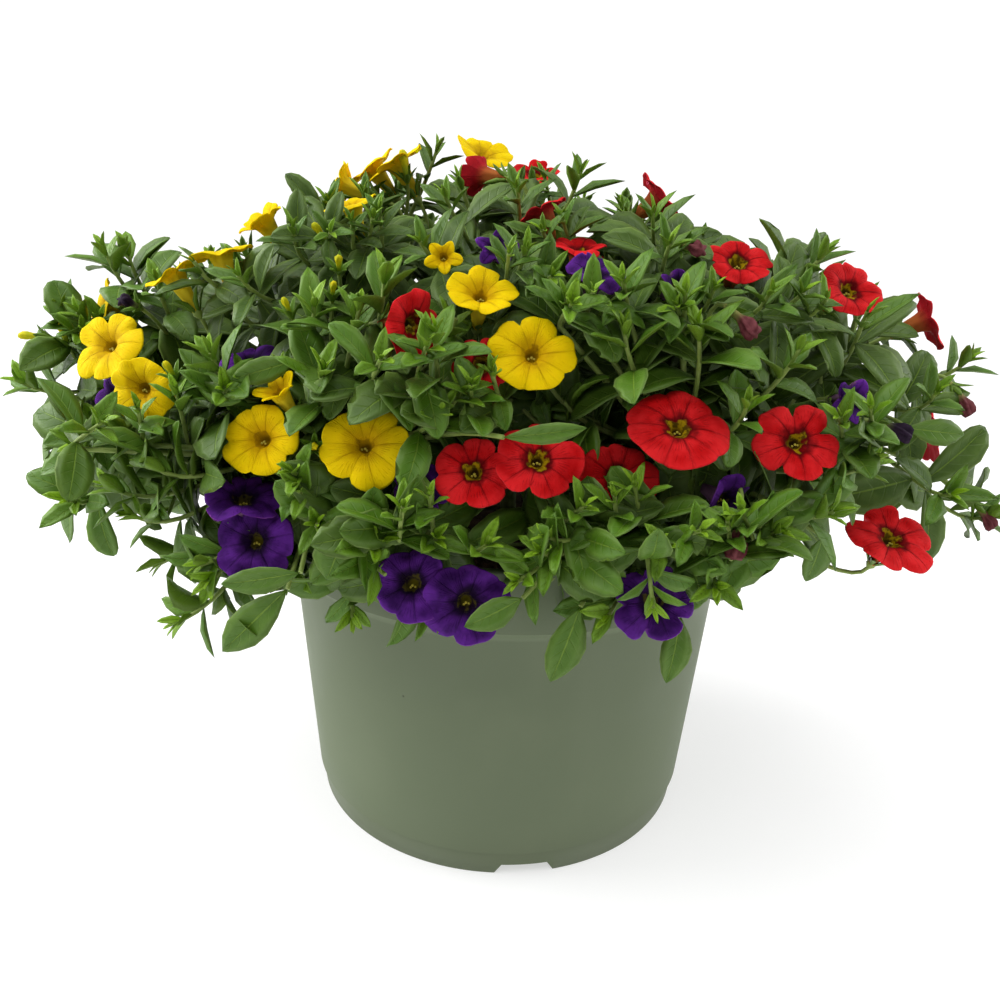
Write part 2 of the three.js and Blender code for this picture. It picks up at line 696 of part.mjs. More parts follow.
/** Greens sorted by how near their inner body lies to a place. */
function nearestGreens(place) {
  const gap = (green) => {
    const offset = place.clone().sub(vec(green.centre));
    return offset.length() - coreReach(green, offset.clone().normalize());
  };
  return [...GREENS].sort((a, b) => gap(a) - gap(b));
}

/** The stalk of a bloom, rooted in the nearest green it can reach clear. */
function growStalk(bloom) {
  const { scale } = corollaRings(bloom);
  const place = bloomFrame(bloom);
  const end = place([0, 0, -CALYX.footDepth * scale]);
  for (const green of nearestGreens(end).slice(0, 5)) {
    for (const [angle, offset] of STALK_TRIES) {
      const control = place([angle, offset, -(CALYX.footDepth + 13) * scale]);
      const path = bend(rootOf(green, control), control, end, 2);
      const stem = tube(path, path.map(() => STEM.stalkRadius), STEM.sides, SEAT_GAP);
      if (isClear(stem, green.name) && isClear(stalkSolid(path, bloom, SEAT_GAP), green.name, bloom)) {
        grow(green.name, stalkSolid(path, bloom));
        return;
      }
    }
  }
}

/** Sets one leaf of a whorl where it is clear, stood aside or shortened if it must be. */
function fitLeaf(stem, leaf, axis, out) {
  const across = new THREE.Vector3().crossVectors(axis, out);
  for (const [shift, share, lean] of LEAF_TRIES) {
    const away = out.clone().multiplyScalar(Math.cos(shift * RADIANS));
    away.addScaledVector(across, Math.sin(shift * RADIANS));
    const angle = (leaf.spread + lean) * RADIANS;
    const along = axis.clone().multiplyScalar(Math.cos(angle)).addScaledVector(away, Math.sin(angle));
    const face = axis.clone().addScaledVector(along, -axis.dot(along)).normalize();
    const shape = { ...leaf, along, face, length: leaf.length * share, width: leaf.width * share };
    const solid = blade(shape);
    if (isFree(solid, stem.green.name, stem.shoot) && isClear(blade(shape, SEAT_GAP), stem.green.name)) {
      return shape;
    }
  }
  return null;
}

/** Adds a stem to a tip from the nearest inner body it can leave clear. */
function growStem(tip, shoot) {
  for (const green of nearestGreens(tip).slice(0, 3)) {
    const root = rootOf(green, tip);
    const span = root.distanceTo(tip);
    for (const lift of [0.12, 0.26, -0.04]) {
      const control = root.clone().lerp(tip, 0.55).addScaledVector(UP, lift * span);
      const path = bend(root, control, tip, span > 75 ? 3 : 2);
      const radii = stemRadii(path.length);
      if (isClear(tube(path, radii, STEM.sides, SEAT_GAP), green.name)) {
        grow(green.name, tube(path, radii, STEM.sides), shoot, false);
        return { green, path, shoot };
      }
    }
  }
  return null;
}

/**
 * The rings of a shoot's stem, which ends upwards as far as it can clear its
 * neighbours: two close rings for each whorl, which its leaves stand between.
 */
function shootStem({ path, green, shoot }) {
  const [down, tip] = path.slice(-2);
  for (const rise of WHORL.rises) {
    const axis = tip.clone().sub(down).normalize();
    axis.addScaledVector(UP, tip.z > MOUND.waist ? rise : rise / 3).normalize();
    const back = (step) => tip.clone().addScaledVector(axis, -step);
    const points = [...path.slice(0, -1), ...[WHORL.drop + WHORL.foot, WHORL.drop, WHORL.foot, 0].map(back)];
    const end = points.length - 1;
    const radii = stemRadii(points.length);
    const first = 120 * draw(shoot, 20);
    const turns = points.map((_, i) => first + (i > end - 2 ? 180 / WHORL.leaves : 0));
    const lean = squareTo(axis)[0];
    const swollen = ringsAlong(points, radii.map((radius) => radius + SEAT_GAP), STEM.sides, lean, turns);
    if (rise === 0 || isClear(solidThrough(swollen), green.name)) {
      return { axis, points, rings: ringsAlong(points, radii, STEM.sides, lean, turns) };
    }
  }
  return null;
}

/** One shoot: its stem and the leaves of its two whorls as one solid. */
function growShoot(stem) {
  const { shoot, green } = stem;
  const { axis, points, rings } = shootStem(stem);
  const leaves = [];
  [WHORL.lower, WHORL.upper].forEach((whorl, level) => {
    const ring = rings.length - 4 + 2 * level;
    for (let side = 0; side < WHORL.leaves; side += 1) {
      const edge = rings[ring + 1][(side + 1) % STEM.sides];
      const base = rings[ring][side].clone().lerp(edge, 0.5);
      const out = base.clone().sub(points[ring].clone().lerp(points[ring + 1], 0.5));
      out.addScaledVector(axis, -out.dot(axis)).normalize();
      const length = whorl.length + whorl.vary * draw(shoot, 3 * level + side);
      const stations = length < LARGE_LENGTH ? SMALL_LEAF : LARGE_LEAF;
      const size = { length, width: whorl.widthShare * length, spread: whorl.spread };
      const leaf = fitLeaf(stem, { base, stations, ...size }, axis, out);
      if (leaf) leaves.push({ ...leaf, ring, side });
    }
  });
  let solid = shootSolid(rings, leaves);
  while (leaves.length > 0 && !isClear(solid, green.name)) {
    leaves.pop();
    solid = shootSolid(rings, leaves);
  }
  grow(green.name, solid, shoot);
}

// ---- The mound ------------------------------------------------------------------

/** A place on the mound's outline: plan angle in degrees and height share. */
function moundPlace(angle, share) {
  const { halfWidth, halfDepth, rise, droop, waist, power } = MOUND;
  const height = waist + share * (share > 0 ? rise : droop);
  const ring = (1 - Math.abs(share) ** power) ** (1 / power);
  const [c, s] = [Math.cos(angle * RADIANS), Math.sin(angle * RADIANS)];
  const round = (Math.abs(c) ** power + Math.abs(s) ** power) ** (1 / power);
  return new THREE.Vector3((halfWidth * ring * c) / round, (halfDepth * ring * s) / round, height);
}

/** The height at a place along x, between [x, height] rows. */
function heightAt(rows, x) {
  const next = Math.min(Math.max(rows.findIndex((row) => row[0] > x), 1), rows.length - 1);
  const [[fromX, from], [toX, to]] = rows.slice(next - 1, next + 1);
  return THREE.MathUtils.mapLinear(THREE.MathUtils.clamp(x, fromX, toX), fromX, toX, from, to);
}

/** Shoot tips spread evenly over the mound wherever none, and no bloom, is set by hand. */
function fillTips(blooms, tips) {
  const filled = [];
  for (let i = 0; i < FILL.count; i += 1) {
    const share = 0.97 - ((0.97 - FILL.lowest) * (i + 0.5)) / FILL.count;
    const place = moundPlace(i * GOLDEN, share);
    place.multiplyScalar(1 - 0.05 * draw(i, 7)).setZ(Math.min(place.z, heightAt(CREST, place.x)));
    const near = (others, spacing) => others.some((other) => other.distanceTo(place) < spacing);
    const crowded = near([...tips, ...filled], FILL.shootSpacing);
    const low = place.z < heightAt(HEM, place.x);
    if (!low && !crowded && !near(blooms.map((bloom) => bloom.at), FILL.bloomSpacing)) filled.push(place);
  }
  return filled;
}

function readBlooms() {
  const rows = [];
  const add = (color, groups, side) => {
    groups.forEach((group, i) => {
      const name = `${color}_bloom${group.length > 1 ? 's' : ''}_${side}_${i + 1}`;
      group.forEach(([x, y, z, width, turn, tilt, shut], k) => {
        const spin = 90 + 36 * draw(x, y + k);
        rows.push({ name, color, at: new THREE.Vector3(x, y, z), width, turn, tilt, shut, spin });
      });
    });
  };
  ['yellow', 'red', 'purple'].forEach((color) => add(color, BLOOMS[color], 'front'));
  ['yellow', 'red', 'purple'].forEach((color) => add(color, BLOOMS.back[color], 'back'));
  return rows;
}

function meshOf(name, solid, finish) {
  const material = new THREE.MeshStandardMaterial({ ...finish, metalness: 0, flatShading: true });
  const mesh = new THREE.Mesh(geometryOf(solid), material);
  mesh.name = name;
  return mesh;
}

/** Grows the stem and blade of one leaf that hangs free below the mound. */
function growHangingLeaf(row, shoot) {
  const [base, tip, width] = [vec(row), vec(row.slice(3)), row[6]];
  const stem = growStem(base, shoot);
  if (!stem) return;
  const owner = stem.green.name;
  const along = tip.clone().sub(base).normalize();
  const outward = new THREE.Vector3(base.x * 0.4, base.y, 0).normalize();
  const face = outward.addScaledVector(along, -outward.dot(along)).normalize();
  const leaf = { base, along, face, length: base.distanceTo(tip), width, stations: LARGE_LEAF };
  grow(owner, tube(stem.path, stem.path.map(() => STEM.tipRadius), STEM.sides), shoot);
  if (isClear(blade(leaf, SEAT_GAP), owner)) grow(owner, blade(leaf), shoot);
}

/** Grows everything in turn: what comes later keeps clear of what stands already. */
function growPlant(blooms) {
  blooms.forEach((bloom) => grow(bloom.name, corolla(bloom), bloom));
  GREENS.forEach((green) => {
    grow(green.name, makeCore(green));
    grow(green.name, makeNeck(green));
  });
  blooms.forEach(growStalk);
  const setTips = SHOOT_TIPS.map(vec);
  const tips = [...setTips, ...fillTips(blooms, setTips)];
  HANGING_LEAVES.forEach((row, i) => growHangingLeaf(row, tips.length + i));
  tips.map((tip, i) => growStem(tip, i)).filter(Boolean).forEach(growShoot);
}

function buildPlant() {
  const blooms = readBlooms();
  grow('pot', makePot());
  grow('soil', makeSoil());
  growPlant(blooms);

  const finishes = new Map([['pot', FINISH.pot], ['soil', FINISH.soil]]);
  GREENS.forEach((green) => finishes.set(green.name, FINISH.leaf));
  blooms.forEach((bloom) => finishes.set(bloom.name, FINISH[bloom.color]));
  const plant = new THREE.Group();
  finishes.forEach((finish, name) => {
    const parts = grown.filter((part) => part.owner === name && part.kept).map((part) => part.solid);
    plant.add(meshOf(name, join(parts), finish));
  });
  return plant;
}

export default buildPlant();
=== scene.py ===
"""Calibrachoa trio in a nursery pot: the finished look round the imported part.

Three young plants with yellow, red and purple flowers share one sage green pot. The
pot, the soil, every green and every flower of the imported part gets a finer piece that
keeps its place. Sizes are real ones: lengths are written in millimetres times MM, and
Blender holds them in metres. The pot's foot stands at the origin, +Z is up, and the
plant's fuller face looks towards -Y.
"""

import json
import logging
import math
from dataclasses import dataclass, field
from enum import Enum
from typing import Iterable, Sequence

import bpy
import numpy as np
from bpy.types import Material, Node, NodeSocket, NodeTree, Object
from mathutils import Matrix, Vector

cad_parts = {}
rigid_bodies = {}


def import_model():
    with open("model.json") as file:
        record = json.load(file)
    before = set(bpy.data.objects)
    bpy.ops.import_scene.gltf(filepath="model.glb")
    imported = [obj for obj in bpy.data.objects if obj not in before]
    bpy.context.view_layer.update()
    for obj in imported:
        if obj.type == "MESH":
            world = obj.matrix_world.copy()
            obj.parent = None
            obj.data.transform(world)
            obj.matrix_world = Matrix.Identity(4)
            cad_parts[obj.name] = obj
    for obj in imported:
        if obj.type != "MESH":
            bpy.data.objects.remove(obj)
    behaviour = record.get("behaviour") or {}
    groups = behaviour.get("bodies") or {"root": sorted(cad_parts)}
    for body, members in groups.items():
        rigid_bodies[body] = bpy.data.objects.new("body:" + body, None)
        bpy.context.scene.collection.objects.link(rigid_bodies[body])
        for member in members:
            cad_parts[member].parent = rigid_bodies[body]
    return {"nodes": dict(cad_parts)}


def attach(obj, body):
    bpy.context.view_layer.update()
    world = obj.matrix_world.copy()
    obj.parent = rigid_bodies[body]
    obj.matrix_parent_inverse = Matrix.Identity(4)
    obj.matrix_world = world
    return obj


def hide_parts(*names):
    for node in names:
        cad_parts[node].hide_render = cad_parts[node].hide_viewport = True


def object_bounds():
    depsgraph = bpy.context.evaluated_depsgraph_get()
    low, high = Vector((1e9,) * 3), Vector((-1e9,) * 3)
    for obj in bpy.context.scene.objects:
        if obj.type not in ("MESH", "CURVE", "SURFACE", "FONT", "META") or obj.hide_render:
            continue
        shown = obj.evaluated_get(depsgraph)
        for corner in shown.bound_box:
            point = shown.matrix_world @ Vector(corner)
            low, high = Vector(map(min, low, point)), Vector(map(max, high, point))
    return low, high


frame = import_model()
CAD_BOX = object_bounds()
log = logging.getLogger("calibrachoa")

Array = np.ndarray
Pair = tuple[float, float]
Tone = tuple[float, float, float, float]

MM = 0.001
BODY = "root"
SURFACE_MAP = "surface_map"
UP = np.array([0.0, 0.0, 1.0])
WHITE = (1.0, 1.0, 1.0, 1.0)
GOLDEN = 137.508  # degrees between one leaf or shoot and the next
VIEWPOINT = np.array([0.0, -385.8, 267.4]) * MM  # where the plant's face is seen from


# ---- Small helpers ----


def draw(item: float, kind: float) -> float:
    """A repeatable draw between 0 and 1 for one item and one kind of choice."""
    wave = math.sin(item * 12.9898 + kind * 78.233) * 43758.5453
    return wave - math.floor(wave)


def length_of(vector: Array) -> float:
    """The vector's length."""
    return float(np.linalg.norm(vector))


def unit(vector: Array) -> Array:
    """The vector at length 1."""
    return vector / max(length_of(vector), 1e-12)


def heading(turn: float, tilt: float) -> Array:
    """Direction turned to the right of -Y and raised above the level, in degrees.

    Args:
        turn: degrees to the right of -Y.
        tilt: degrees above the level.

    Returns:
        The direction, of length 1.
    """
    turned, raised = math.radians(turn), math.radians(tilt)
    level = math.cos(raised)
    return np.array([math.sin(turned) * level, -math.cos(turned) * level, math.sin(raised)])


def square_to(axis: Array) -> tuple[Array, Array]:
    """Two directions square to the axis and to each other.

    Args:
        axis: the direction, of length 1.

    Returns:
        The two directions.
    """
    spare = np.array([1.0, 0.0, 0.0]) if abs(float(axis @ UP)) > 0.98 else UP
    side = unit(np.cross(spare, axis))
    return side, unit(np.cross(axis, side))


def around(axis: Array, angle: Array | float) -> Array:
    """Directions square to the axis at angles in degrees round it.

    Args:
        axis: the direction, of length 1.
        angle: angles in degrees.

    Returns:
        One direction for each angle.
    """
    side, over = square_to(axis)
    turned = np.radians(np.asarray(angle, float))[..., None]
    return np.cos(turned) * side + np.sin(turned) * over


def square_part(vector: Array, along: Array) -> Array:
    """The direction of what is square to a line in a vector."""
    return unit(vector - along * float(vector @ along))


def ring_at(radius: Array | float, height: float, count: int, start: float = 0.0) -> Array:
    """Points evenly round the upright axis, from a first angle in degrees."""
    turns = np.radians(start + np.arange(count) * 360 / count)
    return np.stack([radius * np.cos(turns), radius * np.sin(turns), np.full(count, height)], 1)


def smooth(value: Array | float, low: float, high: float) -> Array:
    """An even step from 0 at low to 1 at high."""
    share = np.clip((np.asarray(value, float) - low) / (high - low), 0, 1)
    return share * share * (3 - 2 * share)


def curve_points(controls: Sequence[Array], count: int) -> Array:
    """Points along the smooth curve of three or four control points.

    Args:
        controls: three or four places.
        count: how many points to give.

    Returns:
        The points, one in a row.
    """
    t = np.linspace(0, 1, count)[:, None]
    if len(controls) == 3:
        a, b, c = controls
        return (1 - t) ** 2 * a + 2 * t * (1 - t) * b + t ** 2 * c
    a, b, c, d = controls
    return (1 - t) ** 3 * a + 3 * t * (1 - t) ** 2 * b + 3 * t ** 2 * (1 - t) * c + t ** 3 * d


def colour(red: int, green: int, blue: int) -> Tone:
    """A colour from its screen values, 0 to 255, as the shaders take it.

    Args:
        red: how red it is.
        green: how green it is.
        blue: how blue it is.

    Returns:
        Red, green, blue and alpha.
    """
    shares = (value / 255 for value in (red, green, blue))
    linear = [c / 12.92 if c <= 0.04045 else ((c + 0.055) / 1.055) ** 2.4 for c in shares]
    return (*linear, 1.0)


def add_object(name: str, data: object) -> Object:
    """A new object that joins the scene, at the origin.

    Args:
        name: its name.
        data: its mesh, light or camera.

    Returns:
        The object.
    """
    made = bpy.data.objects.new(name, data)
    bpy.context.scene.collection.objects.link(made)
    return made


@dataclass
class MeshDraft:
    """Corners and faces gathered for one piece, with the map that its finish reads."""

    corners: list[Array] = field(default_factory=list)
    faces: list[tuple[int, ...]] = field(default_factory=list)
    maps: list[Sequence[Pair]] = field(default_factory=list)
    finishes: list[int] = field(default_factory=list)
    marks: list[float] = field(default_factory=list)
    count: int = 0

    def add(self, points: Array | Sequence) -> Array:
        """Adds corners and returns their numbers.

        Args:
            points: their places, one in a row.

        Returns:
            Their numbers.
        """
        rows = np.asarray(points, float).reshape(-1, 3)
        self.corners.append(rows)
        self.count += len(rows)
        return np.arange(self.count - len(rows), self.count)

    def add_face(self, loop: Sequence[int], uvs: Sequence[Pair], finish: int = 0, mark: float = 0.0) -> None:
        """Adds one face.

        Args:
            loop: corner numbers, anticlockwise from outside.
            uvs: the map's place for each corner.
            finish: number of the material.
            mark: a value that the material reads for the whole face.
        """
        self.faces.append(tuple(int(corner) for corner in loop))
        self.maps.append(uvs)
        self.finishes.append(finish)
        self.marks.append(mark)

    def add_wall(self, lower: Array, upper: Array, heights: Pair, **style: float) -> None:
        """Adds a closed band of faces between two rings of as many corners.

        Args:
            lower: corner numbers of one ring.
            upper: corner numbers of the next ring.
            heights: the map's height at the two rings.
            style: the faces' finish and mark.
        """
        count = len(lower)
        low, high = heights
        for k in range(count):
            nxt = (k + 1) % count
            here, there = k / count, (k + 1) / count
            uvs = [(here, low), (there, low), (there, high), (here, high)]
            self.add_face((lower[k], lower[nxt], upper[nxt], upper[k]), uvs, **style)

    def add_cap(self, ring: Array, pole: int, heights: Pair, inward: bool = False, **style: float) -> None:
        """Closes a ring with triangles to a pole.

        Args:
            ring: corner numbers of the ring.
            pole: the pole's corner number.
            heights: the map's height at the ring and at the pole.
            inward: whether the cap faces the other way.
            style: the faces' finish and mark.
        """
        count = len(ring)
        for k in range(count):
            nxt = (k + 1) % count
            ends = [(ring[k], (k / count, heights[0])), (ring[nxt], ((k + 1) / count, heights[0]))]
            (first, first_uv), (second, second_uv) = ends[::-1] if inward else ends
            uvs = [first_uv, second_uv, ((k + 0.5) / count, heights[1])]
            self.add_face((first, second, pole), uvs, **style)

    def add_body(self, rings: Sequence[Array], levels: Sequence[float], low: Sequence, high: Sequence,
                 **style: float) -> None:
        """Adds a closed body: walls between rings in order and a cap at either end.

        Args:
            rings: corner numbers of each ring.
            levels: the map's height at each ring.
            low: the pole before the first ring.
            high: the pole after the last ring.
            style: the faces' finish and mark.
        """
        for lower, upper, heights in zip(rings, rings[1:], zip(levels, levels[1:])):
            self.add_wall(lower, upper, heights, **style)
        poles = self.add([low, high])
        self.add_cap(rings[0], poles[0], (0, 0), inward=True, **style)
        self.add_cap(rings[-1], poles[1], (1, 1), **style)

    def to_object(self, name: str, *materials: Material, linked: bool = True) -> Object:
        """Makes the mesh and its object.

        Args:
            name: the piece's name.
            materials: its finishes, in the order that faces number them.
            linked: whether the object joins the scene.

        Returns:
            The new object, with its place in its mesh.
        """
        mesh = bpy.data.meshes.new(name)
        mesh.from_pydata(np.concatenate(self.corners).tolist(), [], self.faces)
        layer = mesh.uv_layers.new(name=SURFACE_MAP)
        layer.data.foreach_set("uv", [value for loop in self.maps for uv in loop for value in uv])
        mesh.attributes.new("mark", "FLOAT", "FACE").data.foreach_set("value", self.marks)
        mesh.polygons.foreach_set("material_index", self.finishes)
        mesh.polygons.foreach_set("use_smooth", [True] * len(self.faces))
        for material in materials:
            mesh.materials.append(material)
        mesh.update()
        return add_object(name, mesh) if linked else bpy.data.objects.new(name, mesh)


def plain_mesh(piece: Object) -> Object:
    """Gives a piece its evaluated mesh for good, and drops its modifiers.

    Args:
        piece: the object.

    Returns:
        The same object.
    """
    graph = bpy.context.evaluated_depsgraph_get()
    source = piece.evaluated_get(graph)
    made = bpy.data.meshes.new_from_object(source, preserve_all_data_layers=True, depsgraph=graph)
    piece.modifiers.clear()
    old, piece.data = piece.data, made
    bpy.data.meshes.remove(old)
    made.name = piece.name
    return piece


def keep(piece: Object, slot: str, *nodes: str) -> None:
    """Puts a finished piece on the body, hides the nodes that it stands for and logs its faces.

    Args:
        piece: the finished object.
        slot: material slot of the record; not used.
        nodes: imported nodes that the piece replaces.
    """
    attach(piece, BODY)
    if nodes:
        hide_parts(*nodes)
    log.info("%s: %d faces", piece.name, len(piece.data.polygons))


# ---- Node helpers ----


class Value:
    """A shader node's output that takes part in sums as a number does."""

    def __init__(self, nodes: "Nodes", socket: NodeSocket) -> None:
        """Keeps the output and the tree that it belongs to."""
        self.nodes, self.socket = nodes, socket

    def __add__(self, other: object) -> "Value":
        """The sum."""
        return self.nodes.math("ADD", self, other)

    def __sub__(self, other: object) -> "Value":
        """The difference."""
        return self.nodes.math("SUBTRACT", self, other)

    def __rsub__(self, other: object) -> "Value":
        """The difference from a number."""
        return self.nodes.math("SUBTRACT", other, self)

    def __mul__(self, other: object) -> "Value":
        """The product."""
        return self.nodes.math("MULTIPLY", self, other)

    def __abs__(self) -> "Value":
        """The value without its sign."""
        return self.nodes.math("ABSOLUTE", self)


class Nodes:
    """A short hand for building one node tree."""

    def __init__(self, tree: NodeTree) -> None:
        """Starts on an empty tree."""
        self.tree = tree

    def put(self, socket: NodeSocket, value: object) -> None:
        """Links an output to a socket, or sets the socket to a plain value.

        Args:
            socket: the input of a node.
            value: an output or a plain value.
        """
        if isinstance(value, Value):
            value = value.socket
        if isinstance(value, NodeSocket):
            self.tree.links.new(value, socket)
        else:
            socket.default_value = value

    def node(self, kind: str, inputs: dict | None = None, **values: object) -> Node:
        """Adds a node.

        Args:
            kind: the node's type.
            inputs: a value or an output for each of its inputs, by name or number.
            values: its own settings by name.

        Returns:
            The new node.
        """
        made = self.tree.nodes.new(kind)
        for name, value in values.items():
            setattr(made, name, value)
        for name, value in (inputs or {}).items():
            self.put(made.inputs[name], value)
        return made

    def value(self, output: str | int, kind: str, inputs: dict | None = None, **values: object) -> Value:
        """Adds a node as node() does, and gives one of its outputs by name or number."""
        return Value(self, self.node(kind, inputs, **values).outputs[output])

    def math(self, operation: str, first: object, second: object = 0.0) -> Value:
        """A Math node on two numbers or outputs."""
        return self.value(0, "ShaderNodeMath", {0: first, 1: second}, operation=operation)

    def ramp(self, value: object, low: float, high: float, start: float = 0.0, end: float = 1.0) -> Value:
        """An even step from start, where the value is low, to end, where it is high."""
        span = {"Value": value, "From Min": low, "From Max": high, "To Min": start, "To Max": end}
        return self.value("Result", "ShaderNodeMapRange", span, interpolation_type="SMOOTHSTEP")

    def fall(self, value: object, low: float, high: float) -> Value:
        """An even step from 1, where the value is low, to 0, where it is high."""
        return self.ramp(value, low, high, 1.0, 0.0)

    def mix(self, share: object, first: object, second: object) -> Value:
        """A mix of two colours by a share."""
        return self.value(2, "ShaderNodeMix", {"Factor": share, 6: first, 7: second}, data_type="RGBA")

    def place(self, space: str = "Object") -> Value:
        """Where the surface's point lies."""
        return self.value(space, "ShaderNodeTexCoord")

    def part(self, place: Value, number: int) -> Value:
        """One of the three parts of a place."""
        return self.value(number, "ShaderNodeSeparateXYZ", {0: place})

    def noise(self, scale: object, detail: float = 2.0, stretch: Sequence[float] | None = None) -> Value:
        """Noise on Object coordinates.

        Args:
            scale: patches in a metre.
            detail: how many finer layers it has.
            stretch: the scale along X, Y and Z, where it isn't even.

        Returns:
            The noise, 0 to 1.
        """
        where = self.place()
        if stretch is not None:
            where = self.value("Vector", "ShaderNodeMapping", {"Vector": where, "Scale": stretch})
        return self.value("Fac", "ShaderNodeTexNoise", {"Vector": where, "Scale": scale, "Detail": detail})

    def attribute(self, name: str) -> Value:
        """The value of one of the piece's own attributes."""
        return self.value("Fac", "ShaderNodeAttribute", attribute_type="GEOMETRY", attribute_name=name)

    def across_and_along(self) -> tuple[Value, Value]:
        """The two values of the piece's own map."""
        place = self.value("UV", "ShaderNodeUVMap", uv_map=SURFACE_MAP)
        return self.part(place, 0), self.part(place, 1)

    def group(self, group: NodeTree, **inputs: float) -> list[Value]:
        """Places a node group with its own values, named with _ for spaces, and gives its outputs.

        Args:
            group: the node group.
            inputs: values of its inputs by name.

        Returns:
            The outputs.
        """
        named = {name.replace("_", " "): value for name, value in inputs.items()}
        placed = self.node("ShaderNodeGroup", named, node_tree=group)
        return [Value(self, output) for output in placed.outputs]

    def bump(self, height: Value, depth: float, strength: float = 1.0, normal: Value | None = None) -> Value:
        """A bumped normal from a height map whose full range is as deep as given.

        Args:
            height: the height map, 0 to 1.
            depth: the full depth in metres.
            strength: how strongly it shows.
            normal: a normal to start from.

        Returns:
            The normal.
        """
        inputs = {"Distance": depth, "Strength": strength, "Height": height}
        if normal is not None:
            inputs["Normal"] = normal
        return self.value("Normal", "ShaderNodeBump", inputs)


class Skin(Nodes):
    """One material's nodes, which end in its Principled shader."""

    def __init__(self, name: str) -> None:
        """Starts a new material.

        Args:
            name: its name.
        """
        self.material = bpy.data.materials.new(name)
        self.material.use_nodes = True
        super().__init__(self.material.node_tree)
        self.tree.nodes.clear()
        self.shader = self.node("ShaderNodeBsdfPrincipled")
        self.node("ShaderNodeOutputMaterial", {"Surface": self.shader.outputs["BSDF"]})

    def finish(self, tone: object, roughness: object, **inputs: object) -> Material:
        """Sets the shader's inputs and ends the material.

        Args:
            tone: its colour.
            roughness: its roughness.
            inputs: the shader's further inputs, named with _ for spaces.

        Returns:
            The material.
        """
        inputs |= {"Base_Color": tone, "Roughness": roughness}
        for name, value in inputs.items():
            self.put(self.shader.inputs[name.replace("_", " ")], value)
        return self.material


def new_group(name: str, inputs: dict[str, float], outputs: Sequence[str]) -> tuple[Nodes, Node, Node]:
    """An empty shader group with named sockets.

    Args:
        name: the group's name.
        inputs: name and first value of each number it takes.
        outputs: names of the numbers it gives.

    Returns:
        Its builder, its input node and its output node.
    """
    tree = bpy.data.node_groups.new(name, "ShaderNodeTree")
    for label, value in inputs.items():
        tree.interface.new_socket(label, in_out="INPUT", socket_type="NodeSocketFloat").default_value = value
    for label in outputs:
        tree.interface.new_socket(label, in_out="OUTPUT", socket_type="NodeSocketFloat")
    nodes = Nodes(tree)
    return nodes, nodes.node("NodeGroupInput"), nodes.node("NodeGroupOutput")


class Effects:
    """Patterns that several finishes share, each a shader group built once."""

    def __init__(self) -> None:
        """Builds the groups."""
        self.mottle = self.make_mottle()
        self.petal = self.make_petal()

    @staticmethod
    def make_mottle() -> NodeTree:
        """Soft patches with finer specks in them, for colour and for gloss.

        Returns:
            The node group.
        """
        nodes, given, result = new_group("mottle", {"Patches": 60.0, "Specks": 900.0}, ["Patch", "Speck"])
        nodes.put(result.inputs["Patch"], nodes.noise(given.outputs["Patches"], 3.0))
        nodes.put(result.inputs["Speck"], nodes.noise(given.outputs["Specks"]))
        return nodes.tree

    @staticmethod
    def make_petal() -> NodeTree:
        """Crease lines, painted fold shade, branching veins and rim of five joined lobes, on the flower's
        own map.

        Returns:
            The node group.
        """
        names = ["Crease", "Valley", "Veins", "Rim", "Star"]
        nodes, given, result = new_group("petal_pattern", {"Vein count": 11.0}, names)
        across, along = nodes.across_and_along()
        off = abs(nodes.math("FRACT", across * 5.0) - 0.5)
        wander = (nodes.noise(260.0) - 0.5) * 0.05
        middle = off + wander
        # Thin dark lines along each lobe's middle, the central vein with painted shade of its crease, and at
        # the joins, painted shade of the fold.
        join = nodes.ramp(middle, 0.47, 0.5, 0.0, 0.6)
        lines = nodes.math("MAXIMUM", nodes.fall(middle, 0.004, 0.026), join)
        fade = nodes.ramp(along, 0.33, 0.42) * nodes.ramp(along, 0.55, 1.0, 1.0, 0.3)
        # Broad bands along the lobes' middles and joins: painted shade of the folds.
        valley_shade = nodes.math("MAXIMUM", nodes.fall(off, 0.0, 0.13), nodes.ramp(off, 0.36, 0.5))
        fan = nodes.math("FRACT", (off * (1.7 - along * 0.8) + wander) * Value(nodes, given.outputs[0]))
        thin = nodes.fall(abs(fan - 0.5), 0.03, 0.2)
        broken = nodes.ramp(nodes.noise(420.0), 0.42, 0.66)
        shares = (lines * fade, valley_shade * nodes.fall(along, 0.36, 0.95), thin * broken * fade,
                  nodes.ramp(along, 0.86, 1.0), nodes.ramp(off, 0.0, 0.5, 0.02, -0.02))
        for name, share in zip(names, shares):
            nodes.put(result.inputs[name], share)
        return nodes.tree


# ---- Finishes ----


